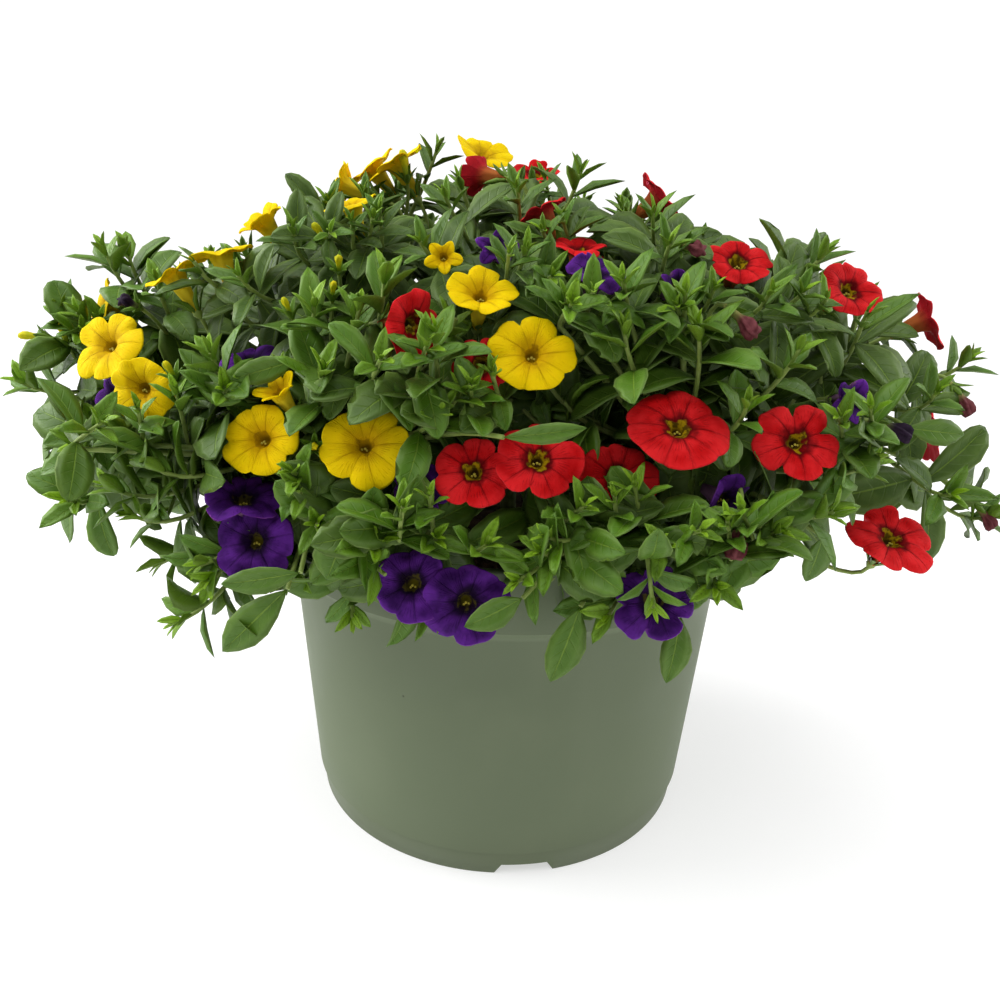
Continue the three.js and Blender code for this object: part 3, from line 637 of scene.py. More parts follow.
@dataclass(frozen=True)
class PotPlastic:
    """Matt moulded plastic in sage green, a little dusty, with specks of soil."""

    body: Tone = colour(95, 107, 79)
    dust: Tone = colour(111, 121, 95)
    foot_dark: Tone = colour(76, 80, 56)
    # colour of the patchy darkening towards the foot
    speck: Tone = colour(58, 50, 36)
    roughness: float = 0.5
    foot_dark_height: float = 26 * MM

    def build(self, effects: Effects) -> Material:
        """Makes the material.

        Args:
            effects: the shared effects.

        Returns:
            The material.
        """
        skin = Skin("pot_plastic")
        patch, speck = skin.group(effects.mottle, Patches=22.0, Specks=1700.0)
        tone = skin.mix(skin.ramp(patch, 0.42, 0.75) * 0.35, self.body, self.dust)
        # Darker in patches over the lowest 26 mm, towards the pot's foot.
        low = skin.ramp(skin.part(skin.place(), 2), 0.0, self.foot_dark_height, 0.32, 0.0)
        tone = skin.mix(low * patch, tone, self.foot_dark)
        streaks = skin.ramp(skin.noise(30.0, 3.0, (1, 1, 0.12)), 0.55, 0.8, 0.0, 0.22)
        tone = skin.mix(streaks, tone, self.dust)
        spots = {"Vector": skin.place(), "Scale": 95.0}
        cells = skin.value("Distance", "ShaderNodeTexVoronoi", spots, feature="F1")
        dot = skin.fall(cells, 0.02, 0.045) * skin.math("GREATER_THAN", skin.noise(40.0, 1.0), 0.6)
        tone = skin.mix(dot * 0.5, tone, self.speck)
        gloss = skin.ramp(patch, 0.3, 0.7, self.roughness - 0.05, self.roughness + 0.1)
        normal = skin.bump(dot, 0.4 * MM, 1.0, skin.bump(speck, 0.06 * MM, 0.5))
        return skin.finish(tone, gloss, Specular_IOR_Level=0.35, Normal=normal)


@dataclass(frozen=True)
class Peat:
    """Dark fibrous potting soil."""

    deep: Tone = colour(38, 28, 20)
    crumb: Tone = colour(78, 58, 40)
    fibre: Tone = colour(132, 108, 78)

    def build(self, effects: Effects) -> Material:
        """Makes the material.

        Args:
            effects: the shared effects.

        Returns:
            The material.
        """
        skin = Skin("soil")
        patch, speck = skin.group(effects.mottle, Patches=170.0, Specks=1100.0)
        tone = skin.mix(skin.ramp(patch, 0.3, 0.7), self.deep, self.crumb)
        strands = skin.ramp(skin.noise(240.0, stretch=(1, 0.15, 1)), 0.62, 0.72)
        tone = skin.mix(strands * 0.7, tone, self.fibre)
        normal = skin.bump(patch + speck * 0.4, 1.6 * MM)
        return skin.finish(tone, 0.95, Specular_IOR_Level=0.2, Normal=normal)


@dataclass(frozen=True)
class LeafGreen:
    """Leaves from dull dark green when old to bright yellow-green when young."""

    old: Tone = colour(56, 84, 0)
    old_cool: Tone = colour(54, 82, 18)
    grown: Tone = colour(70, 112, 0)
    young: Tone = colour(132, 174, 8)
    rib: Tone = colour(120, 150, 48)
    under: Tone = colour(98, 126, 36)
    # pale colour of random patches and of the margin, where it is partly painted highlight
    bloom: Tone = colour(132, 158, 78)

    def build(self, effects: Effects) -> Material:
        """Makes the material.

        Args:
            effects: the shared effects.

        Returns:
            The material.
        """
        skin = Skin("leaf_green")
        across, along = skin.across_and_along()
        off = abs(across - 0.5) * 2.0
        age = skin.attribute("age")
        patch, speck = skin.group(effects.mottle, Patches=150.0, Specks=1500.0)
        tone = skin.mix(skin.attribute("tint"), self.old, self.old_cool)
        tone = skin.mix(skin.ramp(age, 0.05, 0.55), tone, self.grown)
        tone = skin.mix(skin.ramp(age, 0.5, 1.0), tone, self.young)
        tone = skin.mix(skin.ramp(patch, 0.3, 0.72) * 0.16, tone, self.bloom)
        rib = skin.fall(skin.math("DIVIDE", off, 0.085 - along * 0.06), 0.45, 1.1) * 0.62
        wave = abs(skin.math("FRACT", (along - off * 0.22) * 6.5) - 0.5)
        vein = skin.fall(wave, 0.0, 0.11) * skin.ramp(off, 0.08, 0.85, 1.0, 0.12)
        tone = skin.mix(vein * 0.12, tone, self.rib)
        tone = skin.mix(rib, tone, self.rib)
        # Pale margin: a thin rim of hairs with painted highlight on it, and a broad lightening towards the
        # edges, painted light that leaves the middle darker.
        hair_rim_and_highlight = skin.ramp(off, 0.88, 0.98, 0.0, 0.4) + skin.ramp(off, 0.2, 1.0, 0.0, 0.16)
        tone = skin.mix(hair_rim_and_highlight, tone, self.bloom)
        tone = skin.mix(skin.attribute("mark") * 0.6, tone, self.under)
        body = skin.bump((rib * 1.6 + vein) * -0.5, 0.35 * MM, 0.9)
        normal = skin.bump(speck, 0.12 * MM, 0.5, body)
        gloss = skin.ramp(speck, 0.3, 0.7, 0.44, 0.58)
        return skin.finish(tone, gloss, Specular_IOR_Level=0.34, Normal=normal)


@dataclass(frozen=True)
class StemGreen:
    """Soft stems: light yellow-green towards the tips, darker and duller where old."""

    old: Tone = colour(84, 96, 42)
    young: Tone = colour(132, 156, 62)
    streak: Tone = colour(156, 172, 100)

    def build(self, effects: Effects) -> Material:
        """Makes the material.

        Args:
            effects: the shared effects.

        Returns:
            The material.
        """
        skin = Skin("stem_green")
        patch, speck = skin.group(effects.mottle, Patches=260.0, Specks=2200.0)
        tone = skin.mix(skin.attribute("age"), self.old, self.young)
        tone = skin.mix(skin.ramp(patch, 0.4, 0.75) * 0.4, tone, self.streak)
        normal = skin.bump(speck, 0.15 * MM, 0.6)
        return skin.finish(tone, 0.6, Sheen_Weight=0.1, Sheen_Roughness=0.4, Normal=normal)


@dataclass(frozen=True)
class Petal:
    """The velvety face, throat and back of one colour of flower."""

    name: str
    face: Tone
    # lighter patches and rim of the face: painted highlight
    light: Tone
    # colour of the veins, and of the painted shade of the folds
    vein: Tone
    # darker band round the throat: the flower's own darker eye, with painted shade of the funnel
    ring: Tone
    throat: Tone
    # dark blotches in the throat, and painted shade deep down in it
    deep: Tone
    outside: Tone
    tube: Tone
    blotch_share: float
    vein_share: float
    # strength of the crease lines: veins with painted shade of the folds
    crease_share: float
    ring_share: float
    throat_reach: float
    ring_reach: float

    def build(self, effects: Effects) -> Material:
        """Makes the material.

        Args:
            effects: the shared effects.

        Returns:
            The material.
        """
        skin = Skin(self.name)
        along = skin.across_and_along()[1]
        crease, valley_shade, veins, rim, star = skin.group(effects.petal, Vein_count=11.0)
        patch, speck = skin.group(effects.mottle, Patches=130.0, Specks=2600.0)
        # Lighter patches, and lighter towards the rim: painted highlight.
        tone = skin.mix(skin.ramp(patch, 0.3, 0.75), self.face, self.light)
        tone = skin.mix(rim * 0.5, tone, self.light)
        # Veins; crease lines, veins with painted shade of the folds; broad painted shade of the folds.
        for line, share in ((veins, self.vein_share), (crease, self.crease_share), (valley_shade, 0.3)):
            tone = skin.mix(line * share, tone, self.vein)
        # Darker band round the throat: the flower's own darker eye, with painted shade of the funnel.
        reach = along + (skin.noise(300.0) - 0.5) * 0.34 - star
        ring = skin.fall(reach, self.throat_reach, self.ring_reach)
        tone = skin.mix(ring * self.ring_share, tone, self.ring)
        blotch = skin.ramp(skin.noise(560.0), 0.42, 0.6) * self.blotch_share
        throat = skin.mix(blotch, self.throat, self.deep)
        tone = skin.mix(skin.fall(reach, self.throat_reach - 0.05, self.throat_reach), tone, throat)
        # Darkest deep in the throat: painted shade.
        tone = skin.mix(skin.fall(along, 0.1, 0.34), tone, self.deep)
        back = skin.mix(skin.fall(along, 0.2, 0.6), self.outside, self.tube)
        back = skin.mix(veins * 0.5, back, self.vein)
        tone = skin.mix(skin.attribute("mark"), tone, back)
        body = skin.bump((veins + crease * 1.5) * -1.0, 0.35 * MM, 0.8)
        return skin.finish(
            tone, 0.7, Specular_IOR_Level=0.06, Subsurface_Weight=0.45, Subsurface_Radius=WHITE[:3],
            Subsurface_Scale=0.6 * MM, Normal=skin.bump(speck, 0.1 * MM, 0.4, body))


@dataclass(frozen=True)
class Spent:
    """A closed bud's or a withered flower's skin, greener towards its foot."""

    name: str
    face: Tone
    fold: Tone
    foot: Tone

    def build(self, effects: Effects) -> Material:
        """Makes the material.

        Args:
            effects: the shared effects.

        Returns:
            The material.
        """
        skin = Skin(self.name)
        patch = skin.group(effects.mottle, Patches=400.0, Specks=2600.0)[0]
        tone = skin.mix(skin.ramp(patch, 0.35, 0.65), self.face, self.fold)
        tone = skin.mix(skin.fall(skin.across_and_along()[1], 0.3, 0.6), tone, self.foot)
        return skin.finish(tone, 0.7, Specular_IOR_Level=0.15, Normal=skin.bump(patch, 0.3 * MM, 0.7))


@dataclass(frozen=True)
class Pollen:
    """Pale yellow anthers, grainy with pollen."""

    grain: Tone = colour(146, 128, 20)
    pale: Tone = colour(182, 170, 60)

    def build(self, effects: Effects) -> Material:
        """Makes the material.

        Args:
            effects: the shared effects.

        Returns:
            The material.
        """
        skin = Skin("pollen")
        patch, speck = skin.group(effects.mottle, Patches=900.0, Specks=4000.0)
        normal = skin.bump(speck, 0.1 * MM, 0.8)
        return skin.finish(skin.mix(patch, self.grain, self.pale), 0.8, Normal=normal)


class Colour(Enum):
    """The three colours of flower, each with its finish."""

    YELLOW = Petal("petal_yellow", colour(228, 192, 0), colour(220, 190, 0), colour(174, 130, 0),
                   colour(184, 140, 0), colour(164, 124, 0), colour(126, 98, 2), colour(232, 196, 2),
                   colour(214, 190, 40), 0.4, 0.16, 0.5, 0.7, 0.4, 0.74)
    RED = Petal("petal_red", colour(176, 5, 9), colour(212, 34, 38), colour(92, 0, 4), colour(74, 0, 3),
                colour(158, 130, 8), colour(48, 30, 4), colour(166, 24, 34), colour(150, 84, 36),
                0.8, 0.45, 0.75, 0.9, 0.43, 0.6)
    PURPLE = Petal("petal_purple", colour(44, 9, 72), colour(92, 36, 136), colour(20, 2, 34),
                   colour(14, 2, 24), colour(22, 8, 26), colour(96, 88, 18), colour(74, 40, 84),
                   colour(96, 70, 92), 0.5, 0.4, 0.6, 0.9, 0.42, 0.68)


# ---- What grows where ----


@dataclass(frozen=True)
class Bloom:
    """One flower: its place, its width, where it looks and how far it is shut."""

    name: str
    colour: Colour
    at: Array
    width: float
    turn: float
    tilt: float
    shut: float
    spin: float

    @property
    def scale(self) -> float:
        """Size of the throat and tube against a full flower's."""
        return min(1.0, self.width / (26 * MM) + 0.15)

    @property
    def axis(self) -> Array:
        """The direction that the flower looks."""
        return heading(self.turn, self.tilt)

    @property
    def seed(self) -> float:
        """The number that its draws start from."""
        return float(self.at @ (1000.0, 1700.0, 2300.0))

    def place(self, angle: Array | float, radius: Array | float, height: Array | float) -> Array:
        """Points from the flower's own angle in degrees, radius and height.

        Args:
            angle: angles in degrees.
            radius: radius in metres.
            height: height in metres.

        Returns:
            The places.
        """
        out = around(self.axis, angle + self.spin)
        height, radius = (np.asarray(value, float)[..., None] for value in (height, radius))
        return self.at + self.axis * height + out * radius


# Flowers by colour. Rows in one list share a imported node: the open face's centre in
# millimetres, width, degrees to the right of -Y, degrees upwards, and how far it is shut.
FRONT_BLOOMS = {
    Colour.YELLOW: [
        [[-49, -9, 276, 27, -85, 58, 0.1], [-60, 0, 274, 24, -90, 50, 0.1]],
        [[-70, -15, 266, 22, -95, 15, 0.1]], [[-15, -2, 281, 25, 45, 60, 0.15]],
        [[-93, -44, 253, 20, -65, 55, 0.35]],
        [[-106, -56, 243, 24, -100, 74, 0.05], [-123, -58, 235, 22, -85, 60, 0.1]],
        [[-24, -84, 246, 12, 0, 20, 0.1]], [[-11, -92, 236, 23, 10, 55, 0.2]],
        [[6, -104, 219, 26, 5, 30, 0.05]], [[-146, -65, 210, 29, -25, 35, 0.05]],
        [[-126, -88, 199, 23, -15, 5, 0.05]], [[-80, -108, 189, 24, -12, 26, 0.15]],
        [[-46, -113, 190, 28, -5, 38, 0.05]], [[-75, -103, 204, 17, -45, 58, 0.35]],
        [[-165, -24, 219, 22, -60, 20, 0.1]], [[-60, -48, 261, 20, -60, 74, 0.1]],
    ],
    Colour.RED: [
        [[-15, -20, 272, 18, -125, 5, 0.45]], [[6, -2, 274, 19, -10, 62, 0.15]],
        [[8, -48, 260, 20, -115, 52, 0.1]], [[21, -68, 250, 20, 0, 80, 0.1]],
        [[52, -33, 266, 24, 95, 38, 0.1]], [[77, -62, 247, 23, 8, 52, 0.05]],
        [[120, -54, 238, 23, 20, 36, 0.1]], [[161, -28, 225, 25, 82, 28, 0.1]],
        [[-31, -101, 226, 24, 55, 5, 0.05]], [[-10, -100, 214, 18, -4, 10, 0.05]],
        [[53, -110, 199, 31, 5, 50, 0]], [[93, -103, 194, 28, 8, 36, 0.05]],
        [[-11, -117, 184, 24, -3, 34, 0.05], [9, -115, 188, 27, 6, 38, 0.05]],
        [[36, -103, 179, 26, 0, 34, 0.05]], [[135, -90, 157, 30, 15, 58, 0.05]],
    ],
    Colour.PURPLE: [
        [[-83, -112, 155, 26, -8, 22, 0.05], [-87, -107, 169, 24, 25, 68, 0.1]],
        [[-30, -121, 146, 24, -6, 24, 0.05], [-12, -123, 141, 27, 4, 14, 0.05]],
        [[49, -119, 142, 27, 12, 22, 0.05]], [[26, -84, 243, 20, 20, 62, 0.1]],
        [[-28, -113, 176, 18, -15, 0, 0.05]], [[71, -109, 174, 20, 35, -8, 0.1]],
        [[-90, -80, 209, 20, -10, 66, 0.05]], [[-147, -60, 189, 22, -30, 0, 0.05]],
        [[54, -80, 239, 14, 30, 30, 0.1]], [[115, -86, 204, 16, 20, 10, 0.1]],
        [[-7, -74, 249, 14, 0, 30, 0.1]],
    ],
}
BACK_BLOOMS = {
    Colour.YELLOW: [
        [[-88, 80, 236, 26, -135, 25, 0.05], [-74, 84, 231, 25, -175, 20, 0.05]],
        [[-154, 58, 196, 28, -115, 15, 0.05]], [[-22, 113, 196, 26, 178, 12, 0.05]],
    ],
    Colour.RED: [
        [[52, 88, 232, 28, 168, 28, 0.05]],
        [[112, 88, 190, 28, 130, 5, 0.05], [101, 93, 200, 25, 170, 30, 0.05]],
        [[190, 12, 170, 27, 85, 10, 0.05]],
    ],
    Colour.PURPLE: [
        [[-76, 108, 166, 26, -160, 5, 0.05]], [[34, 114, 168, 25, 175, 5, 0.05]],
    ],
}
# Flowers that leaves partly cover, as young growth does.
HALF_HIDDEN = {
    f"{tone}_bloom_front_{number}" for tone, numbers in (
        ("yellow", (2, 10, 14, 15)), ("red", (2, 3, 4, 9, 10, 14)), ("purple", range(3, 12)))
    for number in numbers
}

# Shoot tips that shape the mound's outline and face, in millimetres.
SHOOT_TIPS = [
    # left shoulder and side
    [-161, -26, 240], [-178, -34, 217], [-191, -44, 190], [-157, -83, 156],
    [-127, -101, 158], [-101, -113, 146], [-112, -108, 122], [-134, -92, 186],
    # upper left
    [-104, -50, 252], [-77, -66, 252], [-93, -79, 237], [-64, -96, 230],
    # crown
    [-34, 2, 281], [22, -37, 274], [-1, -52, 268], [46, -60, 261], [3, -85, 249], [-32, -80, 250],
    # face
    [-49, -99, 230], [16, -97, 235], [-15, -113, 208], [-59, -109, 212], [3, -116, 203],
    [64, -87, 239], [-66, -118, 175], [12, -125, 166], [49, -122, 163], [-40, -123, 161],
    # right shoulder and side
    [108, -56, 249], [96, -77, 238], [74, -108, 207], [177, -34, 211], [147, -76, 206],
    [120, -99, 187], [157, -80, 170], [190, -50, 152], [88, -113, 166],
]

# More shoots of the face: how far right they stand and how high, in millimetres. Their
# depth is that of the mound there.
FACE_SHOOTS = [
    [-154, 240], [-168, 217], [-111, 240], [-116, 228], [-98, 214], [-42, 240], [-22, 201], [34, 228],
    [50, 252], [83, 238], [58, 228], [120, 232], [104, 236], [92, 222], [101, 211], [-118, 177],
    [-68, 181], [-60, 165], [-22, 163], [11, 173], [4, 150], [36, 152], [86, 166], [-150, 178],
    [-136, 166], [-90, 176], [66, 182], [24, 190], [-38, 150], [-98, 140], [106, 172],
    [11, 160], [-6, 162], [22, 176], [68, 148], [34, 138],
]

# Shoots behind the gaps between the flowers of the face.
INNER_SHOOTS = [
    [12, -86, 206], [25, -72, 214], [0, -70, 196], [34, -62, 204], [-20, -66, 206], [14, -52, 214],
    [4, -84, 196], [11, -66, 191], [-4, -52, 188], [6, -40, 184], [18, -60, 198],
]

# Shoots that stand over the pot's rim beside and behind the mound's face: their tips,
# and how far out in their green's room they start.
RIM_ROOT = 0.15
RIM_SHOOTS = [
    [118, -30, 160], [122, 0, 158], [120, 30, 160], [112, 58, 158], [128, -8, 176], [130, 24, 178],
    [124, 48, 180], [126, -44, 180], [100, 76, 156], [-118, -10, 158], [-122, 20, 160], [-120, 48, 162],
    [-128, 0, 178], [-130, 30, 180], [-150, 8, 186], [-104, 72, 160], [0, 106, 150], [20, 108, 160],
    [-16, 110, 160], [44, 104, 152], [-40, 104, 152], [148, 10, 192], [146, 44, 196],
]

# The highest that shoots reach from left to right, in millimetres: the yellow and the
# purple plant stand tallest, left of the middle.
CREST = [
    [-200, 220], [-160, 222], [-140, 236], [-90, 243], [-66, 266], [-45, 277], [-15, 276],
    [5, 269], [60, 262], [76, 244], [150, 236], [170, 223], [188, 213], [205, 190],
]

# The lowest that shoot tips stand from left to right: they hang beside the pot on the
# left, and keep above its rim on the right.
HEM = [
    [-205, 158], [-185, 150], [-150, 138], [-105, 122], [-60, 116], [50, 120], [78, 152],
    [105, 166], [150, 182], [205, 190],
]

# Single leaves that hang free below the mound or lie before flowers: base, tip and width.
HANGING_LEAVES = [
    [-66, -120, 148, -92, -124, 143, 9],
    [6, -124, 144, -11, -134, 137, 10],
    [-2, -121, 196, 23, -125, 200, 6],
    [14, -58, 192, -8, -60, 184, 12],
    [-69, -98, 213, -90, -105, 207, 8],
    [-104, -96, 203, -88, -106, 200, 7],
    [-71, -118, 141, -95, -122, 117, 12],
    [-51, -118, 162, -58, -122, 146, 14],
    [-42, -110, 153, -40, -112, 138, 10],
    [25, -120, 140, 17, -126, 113, 12],
    [60, -110, 133, 57, -120, 112, 11],
    [-179, -50, 177, -183, -52, 150, 13],
    [-166, -60, 156, -175, -62, 130, 14],
    [107, -100, 160, 104, -104, 144, 12],
    [82, -112, 160, 74, -114, 144, 14],
    [137, -80, 194, 161, -78, 191, 9],
    [168, -60, 166, 175, -58, 187, 10],
]


def read_blooms() -> list[Bloom]:
    """The flowers of both sides in order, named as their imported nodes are.

    Returns:
        The flowers.
    """
    blooms = []
    for side, groups in (("front", FRONT_BLOOMS), ("back", BACK_BLOOMS)):
        for tone, rows in groups.items():
            for number, group in enumerate(rows, 1):
                name = f"{tone.name.lower()}_bloom{'s' * (len(group) > 1)}_{side}_{number}"
                for k, (x, y, z, width, turn, tilt, shut) in enumerate(group):
                    at, spin = np.array([x, y, z]) * MM, 90 + 36 * draw(x, y + k)
                    blooms.append(Bloom(name, tone, at, width * MM, turn, tilt, shut, spin))
    return blooms


@dataclass(frozen=True)
class Green:
    """One green of the plant: where its neck stands and the room that it fills."""

    name: str
    neck: Pair
    centre: tuple[float, float, float]
    half: tuple[float, float, float]
    neck_radius: float
    coolness: float = 0.4  # how blue-green its older leaves are
    youth: float = 7.5  # how many leaves down a shoot stay bright
    breadth: float = 1.1  # width of its leaves against the habit's
    bare: int = 0  # how many leaves its shoots have shed
    soil_height: float = 135 * MM
    neck_rise: float = 22 * MM
    root_share: float = 0.62  # where stems leave from, as a share of the room's reach

    def reach(self, direction: Array) -> float:
        """How far the green's inner room reaches from its centre along a direction."""
        return 1 / length_of(direction / (np.array(self.half) * MM))

    @property
    def middle(self) -> Array:
        """The inner room's centre."""
        return np.array(self.centre) * MM

    def root_of(self, target: Array, share: float | None = None) -> Array:
        """Where a stem towards the target leaves from, inside the green's room."""
        direction = unit(target - self.middle)
        return self.middle + direction * (share or self.root_share) * self.reach(direction)

    def neck_line(self) -> Array:
        """The neck's points from where it leaves the soil up to the room's centre."""
        top = np.array([self.neck[0] * MM, self.neck[1] * MM, self.soil_height])
        return curve_points([top, top + UP * self.neck_rise, self.middle], 8)

    def gap_to(self, place: Array) -> float:
        """How far a place lies outside the green's room."""
        offset = place - self.middle
        return length_of(offset) - self.reach(unit(offset))


HEART, FRONT = ((31, 46, 44), 5.0), ((34, 27, 21), 3.4)
SIDE, BACK = ((36, 46, 28), 3.4), ((36, 24, 26), 3.4)
GREENS = [
    Green("heart_yellow", (-28, 14), (-64, 2, 208), *HEART, 0.75, 6.8, 1.05),
    Green("heart_red", (28, 14), (64, 2, 208), *HEART, 0.35, 7.5, 1.05),
    Green("heart_purple", (0, -28), (0, 0, 208), *HEART, 0.5, 7.5, 1.05),
    Green("trailing_stems_front_left", (-32, -56), (-64, -72, 169), *FRONT, 0.35, 11.0, 1.25),
    Green("trailing_stems_front_right", (32, -56), (64, -72, 169), *FRONT, 0.35, 11.0, 1.25),
    Green("trailing_stems_left", (-64, 0), (-134, 0, 176), *SIDE, 0.3, 11.0, 1.35, 5),
    Green("trailing_stems_right", (64, 0), (134, 0, 176), *SIDE, 0.25, 8.0, 1.2, 7),
    Green("trailing_stems_back_left", (-32, 56), (-59, 66, 174), *BACK),
    Green("trailing_stems_back_right", (32, 56), (59, 66, 174), *BACK),
]


@dataclass(frozen=True)
class Mound:
    """The outline that the shoots fill, widest at its waist."""

    half_width: float = 200 * MM
    half_depth: float = 125 * MM
    rise: float = 128 * MM
    droop: float = 60 * MM
    waist: float = 150 * MM
    power: float = 2.2
    outer: float = 0.985  # size of the outermost layer of tips
    highest: float = 0.985  # first and last height share that is tried
    lowest: float = -0.42
    tries: int = 1500
    spacing: float = 25 * MM
    bloom_spacing: float = 11 * MM
    open_right: float = 138 * MM  # the foliage stands looser to the right of this
    open_left: float = -132 * MM  # and looser to the left of this, below the next height
    open_below: float = 204 * MM
    open_before: float = 30 * MM  # and before this depth
    openness: float = 0.95  # share of the tries that are passed over there
    # inner shoots: share of the mound and spacing
    layers: tuple[Pair, ...] = ((0.84, 25 * MM), (0.66, 27 * MM), (0.46, 30 * MM))

    def place(self, angle: float, share: float, size: float) -> Array:
        """A place on the outline from its plan angle in degrees and its height share.

        Args:
            angle: degrees round the mound, from +X.
            share: 1 at its top, 0 at its waist, -1 at its lowest.
            size: its size against the whole mound.

        Returns:
            The place.
        """
        height = self.waist + share * (self.rise if share > 0 else self.droop) * size
        ring = (1 - abs(share) ** self.power) ** (1 / self.power) * size
        c, s = math.cos(math.radians(angle)), math.sin(math.radians(angle))
        bulge = (abs(c) ** self.power + abs(s) ** self.power) ** (1 / self.power)
        return np.array([self.half_width * ring * c / bulge, self.half_depth * ring * s / bulge, height])

    def face_place(self, right: float, height: float) -> Array:
        """The place on the front of the outline at a distance to the right and a height.

        Args:
            right: metres to the right.
            height: height in metres.

        Returns:
            The place.
        """
        share = (height - self.waist) / (self.rise if height > self.waist else self.droop)
        rest = 1 - abs(right / self.half_width) ** self.power - abs(share) ** self.power
        return np.array([right, -self.half_depth * max(rest, 0.02) ** (1 / self.power), height])

    def is_open(self, place: Array) -> bool:
        """Whether the foliage stands looser at a place."""
        left = place[0] < self.open_left and place[2] < self.open_below and place[1] < self.open_before
        return bool(place[0] > self.open_right or left)

    def fill(self, taken: Sequence, blooms: Sequence, size: float, spacing: float, first: int) -> Array:
        """Shoot tips spread evenly wherever none stands.

        Args:
            taken: places of the given tips.
            blooms: places of the flowers.
            size: share of the mound that the tips lie on.
            spacing: least distance between two tips.
            first: number of the first draw.

        Returns:
            The new tips.
        """
        tips = [*taken]
        crest, hem = (np.transpose(line) * MM for line in (CREST, HEM))
        for i in range(self.tries):
            share = self.highest - (self.highest - self.lowest) * (i + 0.5) / self.tries
            place = self.place((i + first) * GOLDEN, share, size)
            place[:2] *= 1 - 0.06 * draw(i + first, 7)
            top = np.interp(place[0], *crest) - 30 * (1 - size) * MM
            place[2] = min(place[2], top - 6 * MM * draw(i + first, 8))
            if place[2] < np.interp(place[0], *hem):
                continue
            if self.is_open(place) and draw(i + first, 9) < self.openness:
                continue
            near = [len(others) and np.min(np.linalg.norm(np.array(others) - place, axis=1)) < least
                    for others, least in ((tips, spacing), (blooms, self.bloom_spacing))]
            if not any(near):
                tips.append(place)
        return np.array(tips[len(taken):]).reshape(-1, 3)


# ---- Flowers ----


